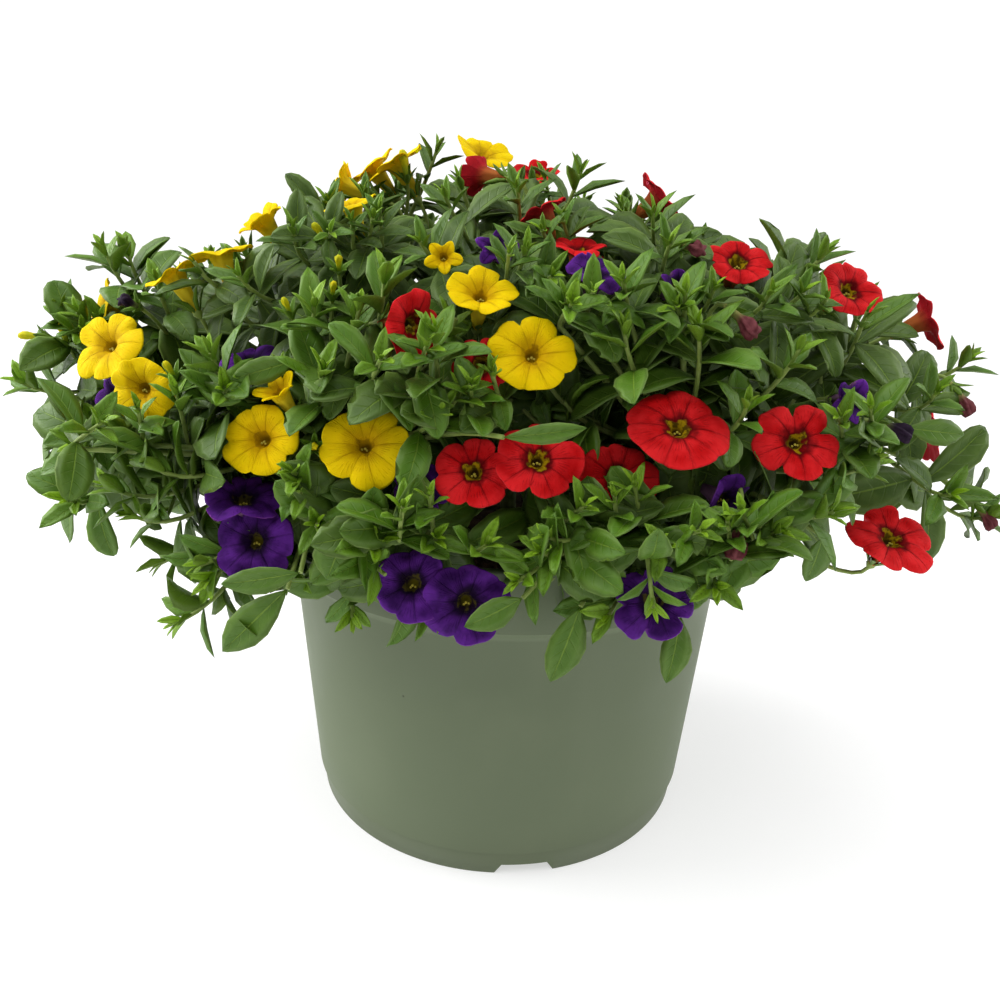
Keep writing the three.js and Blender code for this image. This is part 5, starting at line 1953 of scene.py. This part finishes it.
    def set_leaf(self, green: Green, foot: Array, axis: Array, number: int, order: int, angle: float,
                 size: float) -> None:
        """Sets one leaf of a shoot, turned or shortened until it is clear of the flowers.

        Args:
            green: the green that it belongs to.
            foot: where it leaves the stem.
            axis: the stem's direction there.
            number: the shoot's number.
            order: the leaf's place from the tip.
            angle: degrees round the stem.
            size: the shoot's size of leaf.
        """
        habit = self.habit
        item = number * 31 + order
        length = habit.first_length + habit.length_growth * order + habit.length_surge * order ** 2
        length = min(length, habit.longest) * size * (0.85 + 0.32 * draw(item, 1))
        share = min(habit.first_width + habit.width_growth * order, habit.widest) * green.breadth
        share *= 0.88 + 0.26 * draw(item, 2)
        spread = min(habit.first_spread + habit.spread_growth * order, habit.most_spread)
        spread += 18 * (draw(item, 3) - 0.5)
        age = max(0.0, 1 - order / green.youth) ** 0.8
        kind = LeafKind.NARROW if order < habit.narrow_leaves else FULL_KINDS[int(draw(item, 4) * 4)]
        tint = green.coolness + 0.45 * (draw(item, 5) - 0.5)
        for turn, shrink, lean in habit.ways:
            tilt = math.radians(spread + lean)
            along = unit(axis * math.cos(tilt) + around(axis, angle + turn) * math.sin(tilt) + UP * 0.12)
            face = square_part(axis + UP * 0.55, along)
            leaf = LeafPoint(foot, along, face, length * shrink, length * share * shrink, age, kind, tint)
            points = leaf.points()
            if self.room.is_inside(points) and not self.room.meets_flower(points):
                self.leaves[green.name].append(leaf)
                return

    def grow_hanging_leaf(self, row: Sequence[float], number: int) -> None:
        """The stem and blade of one leaf that hangs free below the mound.

        Args:
            row: its base, tip and width in millimetres.
            number: the number that its draws start from.
        """
        base, tip, width = np.array(row[:3]) * MM, np.array(row[3:6]) * MM, row[6] * MM
        green = self.nearest(base)
        root = green.root_of(base)
        control = root + (base - root) * 0.55 + UP * 0.14 * length_of(base - root)
        self.add_stem(green, curve_points([root, control, base], 8), 1.1, 0.8, 0.7)
        along = unit(tip - base)
        face = square_part(np.array([base[0] * 0.4, base[1], 0.0]), along)
        leaf = LeafPoint(base, along, face, length_of(tip - base), width * 1.1, 0.32, LeafKind.LONG,
                         0.6 * draw(number, 5))
        self.leaves[green.name].append(leaf)


class GeometryTree(Nodes):
    """A short hand for one Geometry Nodes tree."""

    def __init__(self, name: str, **inputs: str) -> None:
        """Starts a tree that takes and gives a geometry, with further inputs of the named kinds.

        Args:
            name: its name.
            inputs: the kind of each input by name.
        """
        super().__init__(bpy.data.node_groups.new(name, "GeometryNodeTree"))
        sockets = [("Geometry", "OUTPUT", "Geometry"), ("Geometry", "INPUT", "Geometry")]
        sockets += [(label.replace("_", " "), "INPUT", kind) for label, kind in inputs.items()]
        for label, way, kind in sockets:
            self.tree.interface.new_socket(label, in_out=way, socket_type=f"NodeSocket{kind}")
        self.given = self.node("NodeGroupInput").outputs

    def named(self, name: str, kind: str = "FLOAT") -> Value:
        """The value of a named attribute."""
        return self.value("Attribute", "GeometryNodeInputNamedAttribute", {"Name": name}, data_type=kind)

    def finish(self, geometry: Value, material: NodeSocket) -> NodeTree:
        """Ends the tree in Realize Instances, smooth shading and Set Material.

        Args:
            geometry: the geometry to end with.
            material: the finish to give.

        Returns:
            The finished tree.
        """
        real = self.value(0, "GeometryNodeRealizeInstances", {"Geometry": geometry})
        even = self.value(0, "GeometryNodeSetShadeSmooth", {"Geometry": real})
        dressed = self.value(0, "GeometryNodeSetMaterial", {"Geometry": even, "Material": material})
        self.node("NodeGroupOutput", {0: dressed})
        return self.tree


def apply_tree(piece: Object, tree: NodeTree, **inputs: object) -> Object:
    """Runs a tree on an object and keeps the result as its plain mesh.

    Args:
        piece: the object that holds the tree's start.
        tree: the Geometry Nodes tree.
        inputs: values of its named inputs, named with _ for spaces.

    Returns:
        The same object, with the result as its mesh and no modifier.
    """
    modifier = piece.modifiers.new(tree.name, "NODES")
    modifier.node_group = tree
    sockets = {item.name: item.identifier for item in tree.interface.items_tree if item.in_out == "INPUT"}
    for name, value in inputs.items():
        modifier[sockets[name.replace("_", " ")]] = value
    piece.update_tag()
    return plain_mesh(piece)


def start_object(name: str, corners: Sequence, edges: Sequence, **values: Sequence) -> Object:
    """The points or lines that a tree starts from, with a value of each kind at every point.

    Args:
        name: its name.
        corners: places of the corners.
        edges: pairs of corner numbers.
        values: the values of each kind by name.

    Returns:
        The object.
    """
    mesh = bpy.data.meshes.new(name)
    mesh.from_pydata(corners, edges, [])
    for label, row in values.items():
        kind = {tuple: "FLOAT_VECTOR", int: "INT"}.get(type(row[0]), "FLOAT")
        attribute = mesh.attributes.new(label, kind, "POINT")
        attribute.data.foreach_set("vector" if kind == "FLOAT_VECTOR" else "value", np.ravel(row).tolist())
    return add_object(name, mesh)


class Foliage:
    """Turns a plant's stems and leaf places into finished pieces."""

    def __init__(self, plant: Plant, effects: Effects) -> None:
        """Builds the finishes, the leaf shapes and the two trees.

        Args:
            plant: the grown plant.
            effects: the shared effects.
        """
        self.plant = plant
        self.leaf_green = LeafGreen().build(effects)
        self.stem_green = StemGreen().build(effects)
        self.shapes = bpy.data.collections.new("leaf_shapes")
        for shape in LEAF_SHAPES:
            self.shapes.objects.link(shape.build())
        self.leaf_tree = self.make_leaf_tree()
        self.stem_tree = self.make_stem_tree()

    @staticmethod
    def make_leaf_tree() -> NodeTree:
        """A leaf of the right shape, turn and size on every point.

        Returns:
            The tree.
        """
        tree = GeometryTree("set_leaves", Leaf_shapes="Collection", Leaf_size="Float",
                            Leaf_finish="Material")
        shapes = tree.value(0, "GeometryNodeCollectionInfo", {
            "Collection": tree.given["Leaf shapes"], "Separate Children": True, "Reset Children": True})
        turned = tree.value(0, "FunctionNodeEulerToRotation", {"Euler": tree.named("lie", "FLOAT_VECTOR")})
        sized = tree.value(0, "ShaderNodeVectorMath", {
            0: tree.named("size", "FLOAT_VECTOR"), "Scale": tree.given["Leaf size"]}, operation="SCALE")
        leaves = tree.value(0, "GeometryNodeInstanceOnPoints", {
            "Points": tree.given["Geometry"], "Instance": shapes, "Pick Instance": True,
            "Instance Index": tree.named("shape", "INT"), "Rotation": turned, "Scale": sized})
        return tree.finish(leaves, tree.given["Leaf finish"])

    @staticmethod
    def make_stem_tree() -> NodeTree:
        """A round stem along every line, as thick as its points say.

        Returns:
            The tree.
        """
        tree = GeometryTree("sweep_stems", Sides="Int", Stem_finish="Material")
        lines = tree.value(0, "GeometryNodeMeshToCurve", {"Mesh": tree.given["Geometry"]})
        thick = tree.value(0, "GeometryNodeSetCurveRadius", {"Curve": lines, "Radius": tree.named("radius")})
        circle = tree.value(0, "GeometryNodeCurvePrimitiveCircle", {
            "Resolution": tree.given["Sides"], "Radius": 1.0})
        swept = tree.node("GeometryNodeCurveToMesh", {
            "Curve": thick, "Profile Curve": circle, "Fill Caps": True})
        if "Scale" in swept.inputs:
            tree.put(swept.inputs["Scale"], tree.named("radius"))
        return tree.finish(swept.outputs[0], tree.given["Stem finish"])

    def build(self) -> None:
        """Builds a piece of leaves and a piece of stems for every green."""
        for green in GREENS:
            leaves = apply_tree(self.leaf_points(green), self.leaf_tree, Leaf_shapes=self.shapes,
                                Leaf_size=1.0, Leaf_finish=self.leaf_green)
            keep(leaves, "leaf_green", green.name)
            stems = apply_tree(self.stem_lines(green), self.stem_tree, Sides=7, Stem_finish=self.stem_green)
            keep(stems, "leaf_green", green.name)
        for shape in list(self.shapes.objects):
            bpy.data.objects.remove(shape)
        bpy.data.collections.remove(self.shapes)

    def leaf_points(self, green: Green) -> Object:
        """The points that the leaf tree starts from.

        Args:
            green: the green to work on.

        Returns:
            The object that carries them.
        """
        leaves = self.plant.leaves[green.name]
        sides = [np.cross(leaf.along, leaf.face) for leaf in leaves]
        lies = [tuple(Matrix((side, leaf.along, leaf.face)).transposed().to_euler())
                for side, leaf in zip(sides, leaves)]
        return start_object(
            f"{green.name}_leaves", [tuple(leaf.foot) for leaf in leaves], [], lie=lies,
            size=[(leaf.width / 2, leaf.length, leaf.length) for leaf in leaves],
            shape=[leaf.kind.value for leaf in leaves], age=[leaf.age for leaf in leaves],
            tint=[leaf.tint for leaf in leaves])

    def stem_lines(self, green: Green) -> Object:
        """The lines that the stem tree starts from.

        Args:
            green: the green to work on.

        Returns:
            The object that carries them.
        """
        corners, edges, radii, ages = [], [], [], []
        for stem in self.plant.stems[green.name]:
            edges.extend((k, k + 1) for k in range(len(corners), len(corners) + len(stem.points) - 1))
            corners.extend(stem.points.tolist())
            radii.extend(stem.radii.tolist())
            ages.extend([stem.age] * len(stem.points))
        return start_object(f"{green.name}_stems", corners, edges, radius=radii, age=ages)


# ---- Pot and soil ----


@dataclass(frozen=True)
class NurseryPot:
    """The thin-walled pot: foot band, tapering body and the stepped collar at its top."""

    height: float = 143 * MM
    foot_radius: float = 84.6 * MM
    foot_wall: float = 3 * MM
    floor_underside: float = 5.5 * MM
    floor_thickness: float = 2.4 * MM
    band_top: float = 11 * MM
    band_radius: float = 86 * MM
    body_foot_radius: float = 86.9 * MM
    body_top_radius: float = 95 * MM
    body_top: float = 113.5 * MM
    collar_step: float = 4.5 * MM
    collar_foot_radius: float = 99.8 * MM
    collar_top_radius: float = 101 * MM
    wall: float = 2 * MM
    lip_round: float = 1.3 * MM
    sides: int = 192
    notches: int = 4
    notch_turn: float = 8.6
    notch_foot: float = 25 * MM
    notch_top: float = 19 * MM
    notch_height: float = 4.8 * MM
    drain_radius: float = 5 * MM
    drain_circle: float = 58 * MM
    drain_sides: int = 24
    sharp_angle: float = 38

    def profile(self) -> list[Pair]:
        """Radius and height from the floor's underside, up the outside and down the inside.

        Returns:
            Pairs of a radius and a height.
        """
        foot_inside = self.foot_radius - self.foot_wall
        floor_top = self.floor_underside + self.floor_thickness
        collar_foot, body_foot = self.body_top + self.collar_step, self.band_top + 0.6 * MM
        inside = self.collar_top_radius - self.wall
        lip = [(self.collar_top_radius - self.lip_round * (1 - math.cos(a)),
                self.height - self.lip_round * (1 - math.sin(a))) for a in np.radians([0, 30, 60, 90])]
        body = [(self.body_foot_radius + (self.body_top_radius - self.body_foot_radius) * t,
                 body_foot + (self.body_top - body_foot) * t) for t in (0, 0.01, 0.2, 0.4, 0.6, 0.8, 0.99)]
        return [
            (foot_inside - 0.4 * MM, self.floor_underside), (foot_inside - 0.2 * MM, 0.6 * MM),
            (foot_inside + 0.3 * MM, 0.0), (self.foot_radius - 0.4 * MM, 0.0), (self.foot_radius, 0.4 * MM),
            (self.band_radius - 0.1 * MM, self.band_top - 0.5 * MM), (self.band_radius, self.band_top),
            *body,
            (self.body_top_radius + 0.15 * MM, self.body_top + 0.05 * MM),
            (self.collar_foot_radius - 0.25 * MM, collar_foot - 0.25 * MM),
            (self.collar_foot_radius, collar_foot),
            (self.collar_foot_radius + 0.05 * MM, collar_foot + 0.6 * MM),
            *lip,
            (inside, self.height), (inside - 0.6 * MM, self.height - 0.8 * MM),
            (self.collar_foot_radius - self.wall - 0.6 * MM, collar_foot + 1 * MM),
            (self.body_top_radius - self.wall, self.body_top - 1.5 * MM),
            (self.body_foot_radius - self.wall + 0.2 * MM, floor_top + 6 * MM),
            (foot_inside - 0.2 * MM, floor_top),
        ]

    def build(self, material: Material) -> None:
        """Turns the profile, cuts the notches and the drain holes, and keeps the result.

        Args:
            material: the finish to give.
        """
        draft = MeshDraft()
        rows = self.profile()
        rings = [draft.add(ring_at(radius, height, self.sides)) for radius, height in rows]
        levels = np.arange(len(rows)) / len(rows)
        draft.add_body(rings, levels, (0, 0, rows[0][1]), (0, 0, rows[-1][1]))
        pot = draft.to_object("nursery_pot", material)
        cutters = [make(k) for make in (self.notch, self.drain) for k in range(self.notches)]
        for cutter in cutters:
            modifier = pot.modifiers.new("cut", "BOOLEAN")
            modifier.operation, modifier.object, modifier.solver = "DIFFERENCE", cutter, "EXACT"
        plain_mesh(pot)
        for cutter in cutters:
            bpy.data.objects.remove(cutter)
        pot.data.set_sharp_from_angle(angle=math.radians(self.sharp_angle))
        keep(pot, "pot_plastic", "pot")

    def notch(self, number: int) -> Object:
        """The cutter of one notch in the foot, wider at the bottom.

        Args:
            number: which notch round the foot.

        Returns:
            The cutter.
        """
        half, top, low = self.notch_foot / 2, self.notch_top / 2, -1 * MM
        half -= (half - top) / self.notch_height * low
        outline = [(-half, low), (half, low), (top, self.notch_height), (-top, self.notch_height)]
        near, far = self.foot_radius - 2 * self.foot_wall, self.foot_radius + 2 * self.foot_wall
        corners = [(x, -depth, z) for depth in (near, far) for x, z in outline]
        return self.cutter("notch_cutter", corners, number)

    def drain(self, number: int) -> Object:
        """The cutter of one drain hole in the floor.

        Args:
            number: which hole round the floor.

        Returns:
            The cutter.
        """
        low = self.floor_underside - self.floor_thickness
        high = self.floor_underside + 2 * self.floor_thickness
        rings = [ring_at(self.drain_radius, z, self.drain_sides) for z in (low, high)]
        corners = np.concatenate(rings) - np.array([0, self.drain_circle, 0])
        return self.cutter("drain_cutter", corners.tolist(), number + 0.5)

    def cutter(self, name: str, corners: Sequence, number: float) -> Object:
        """A closed cutter between two loops of corners, turned to its place, with its faces outwards.

        Args:
            name: its name.
            corners: the corners of one loop, then as many of the other.
            number: its place round the pot, in steps from one notch to the next.

        Returns:
            The cutter.
        """
        count = len(corners) // 2
        walls = [(k, (k + 1) % count, count + (k + 1) % count, count + k) for k in range(count)]
        mesh = bpy.data.meshes.new(name)
        mesh.from_pydata(corners, [], [tuple(range(count))[::-1], tuple(range(count, 2 * count)), *walls])
        mesh.transform(Matrix.Rotation(math.radians(self.notch_turn + number * 360 / self.notches), 4, "Z"))
        mesh.update()
        centre = sum((corner.co for corner in mesh.vertices), Vector()) / len(mesh.vertices)
        if sum((face.center - centre).dot(face.normal) for face in mesh.polygons) < 0:
            mesh.flip_normals()
        return add_object(name, mesh)


@dataclass(frozen=True)
class Soil:
    """Peat on the packed soil: loose crumbs that cover its top up to the pot's wall."""

    radius: float = 97 * MM
    edge_height: float = 124.5 * MM
    crown_height: float = 130.2 * MM
    bed_sides: int = 36
    crumbs_per_square_metre: float = 70000
    crumb_radius: float = 1.5 * MM
    crumb_sides: int = 6
    crumb_half_height: float = 0.8
    least_size: float = 0.35
    most_size: float = 1.25
    seed: int = 7

    def build(self, material: Material) -> None:
        """Dresses the packed soil and scatters the crumbs.

        Args:
            material: the finish to give.
        """
        node = frame["nodes"]["soil"]
        node.data.materials.clear()
        node.data.materials.append(material)
        draft = MeshDraft()
        rings = []
        for share in (0.25, 0.5, 0.75, 1.0):
            height = self.edge_height + (self.crown_height - self.edge_height) * (1 - share ** 2)
            rings.append(draft.add(ring_at(share * self.radius, height, self.bed_sides)))
        for outer, inner in zip(rings[1:], rings):
            draft.add_wall(outer, inner, (0, 1))
        draft.add_cap(rings[0], draft.add([0, 0, self.crown_height])[0], (0, 1))
        bed = draft.to_object("soil_crumbs", material)
        crumb = self.crumb()
        apply_tree(bed, self.make_tree(), Crumb=crumb, Density=self.crumbs_per_square_metre,
                   Crumb_radius=self.crumb_radius, Seed=self.seed, Soil_finish=material)
        bpy.data.objects.remove(crumb)
        keep(bed, "soil")

    def crumb(self) -> Object:
        """One lumpy crumb of radius 1.

        Returns:
            The crumb.
        """
        draft = MeshDraft()
        rings = []
        for row, level in enumerate(np.radians([-40, 0, 40])):
            lumps = np.array([0.8 + 0.4 * draw(k, row) for k in range(self.crumb_sides)])
            height = math.sin(level) * self.crumb_half_height
            ring = ring_at(math.cos(level) * lumps, height, self.crumb_sides, 30 * (row % 2))
            rings.append(draft.add(ring))
        ends = ((0, 0, -self.crumb_half_height), (0, 0, self.crumb_half_height))
        draft.add_body(rings, (0, 0.5, 1), *ends)
        return draft.to_object("crumb", linked=False)

    def make_tree(self) -> NodeTree:
        """Crumbs of many sizes scattered over the bed.

        Returns:
            The tree.
        """
        tree = GeometryTree("scatter_crumbs", Crumb="Object", Density="Float", Crumb_radius="Float",
                            Seed="Int", Soil_finish="Material")
        given = tree.given
        points = tree.value("Points", "GeometryNodeDistributePointsOnFaces", {
            "Mesh": given["Geometry"], "Density": given["Density"], "Seed": given["Seed"]})
        crumb = tree.value("Geometry", "GeometryNodeObjectInfo", {"Object": given["Crumb"]})
        turn = tree.value(0, "FunctionNodeRandomValue", {1: (math.tau,) * 3, "Seed": given["Seed"]},
                          data_type="FLOAT_VECTOR")
        grade = tree.value(1, "FunctionNodeRandomValue", {
            2: self.least_size, 3: self.most_size, "Seed": given["Seed"]}, data_type="FLOAT")
        turned = tree.value(0, "FunctionNodeEulerToRotation", {"Euler": turn})
        sized = tree.math("MULTIPLY", grade, given["Crumb radius"])
        crumbs = tree.value(0, "GeometryNodeInstanceOnPoints", {
            "Points": points, "Instance": crumb, "Rotation": turned, "Scale": sized})
        return tree.finish(crumbs, given["Soil finish"])


# ---- Studio ----


@dataclass(frozen=True)
class Studio:
    """A white floor, soft lights and the camera."""

    pitch: float = 0.333
    yaw: float = -0.009
    roll: float = 0.036
    lens: float = 32.4
    sensor: float = 36.0
    floor_half: float = 30.0
    floor_glow: float = 0.56
    sky_front: float = 0.27  # strength of the surround before and behind the plant
    sky_back: float = 0.6
    sky_seen: float = 1.1
    aim: Sequence[float] = (0, 0, 0.16)
    # name, kind, place in metres, power in watts or a sun's strength, and size
    lights: tuple = (
        ("overhead_light", "SUN", (-0.3, -0.34, 1.6), 2.0, {"angle": math.radians(60)}),
        ("left_light", "AREA", (-1.5, 0.1, 0.9), 28.0, {"size": 1.1}),
        ("right_light", "AREA", (1.5, 0.2, 0.9), 14.0, {"size": 1.1}),
    )

    def set_camera(self) -> None:
        """Places the camera before the plant's face, looking a little down."""
        ahead = heading(math.degrees(math.pi - self.yaw), -math.degrees(self.pitch))
        right = np.array([math.cos(self.yaw), -math.sin(self.yaw), 0.0])
        above = np.cross(right, ahead)
        across = math.cos(self.roll) * right + math.sin(self.roll) * above
        upward = -math.sin(self.roll) * right + math.cos(self.roll) * above
        data = bpy.data.cameras.new("camera")
        data.lens, data.sensor_width = self.lens, self.sensor
        data.clip_start, data.clip_end = 0.01, 50
        camera = add_object("camera", data)
        turned = Matrix((across, upward, -ahead)).transposed().to_4x4()
        camera.matrix_world = Matrix.Translation(VIEWPOINT) @ turned
        bpy.context.scene.camera = camera

    def set_floor(self) -> None:
        """A plain white floor under the pot."""
        half = self.floor_half
        mesh = bpy.data.meshes.new("floor")
        corners = [(-half, -half, 0), (half, -half, 0), (half, half, 0), (-half, half, 0)]
        mesh.from_pydata(corners, [], [(0, 1, 2, 3)])
        skin = Skin("floor_white")
        tone = skin.mix(skin.noise(3.0), colour(176, 176, 176), colour(182, 182, 182))
        white = skin.finish(tone, 0.9, Emission_Color=WHITE, Emission_Strength=self.floor_glow)
        mesh.materials.append(white)
        add_object("floor", mesh)

    def set_sky(self) -> None:
        """A white surround that gives a soft, even light."""
        world = bpy.data.worlds.new("surround")
        world.use_nodes = True
        nodes = Nodes(world.node_tree)
        nodes.tree.nodes.clear()
        depth = nodes.part(nodes.place("Generated"), 1)
        strength = nodes.ramp(depth, -0.9, 0.5, self.sky_front, self.sky_back)
        lit = nodes.value(0, "ShaderNodeBackground", {"Color": WHITE, "Strength": strength})
        seen = nodes.value(0, "ShaderNodeBackground", {"Color": WHITE, "Strength": self.sky_seen})
        direct = nodes.value("Is Camera Ray", "ShaderNodeLightPath")
        mixed = nodes.value(0, "ShaderNodeMixShader", {0: direct, 1: lit, 2: seen})
        nodes.node("ShaderNodeOutputWorld", {"Surface": mixed})
        bpy.context.scene.world = world

    def add_lights(self) -> None:
        """Soft lights that look at the plant."""
        for name, kind, place, power, shape in self.lights:
            data = bpy.data.lights.new(name, kind)
            data.energy = power
            for label, value in shape.items():
                setattr(data, label, value)
            turned = (Vector(self.aim) - Vector(place)).to_track_quat("-Z", "Y").to_matrix().to_4x4()
            add_object(name, data).matrix_world = Matrix.Translation(place) @ turned

    def build(self) -> None:
        """Sets everything that isn't the plant."""
        self.set_camera()
        self.set_floor()
        self.set_sky()
        self.add_lights()
        bpy.context.scene.view_settings.view_transform = "Standard"


def main() -> None:
    """Builds every piece in order and reports each one."""
    logging.basicConfig(level=logging.INFO, format="%(name)s: %(message)s")
    Studio().build()
    effects = Effects()
    NurseryPot().build(PotPlastic().build(effects))
    Soil().build(Peat().build(effects))
    blooms = read_blooms()
    Flowers(blooms, effects).build()
    plant = Plant(blooms)
    plant.grow()
    Foliage(plant, effects).build()


if __name__ == "__main__":
    main()
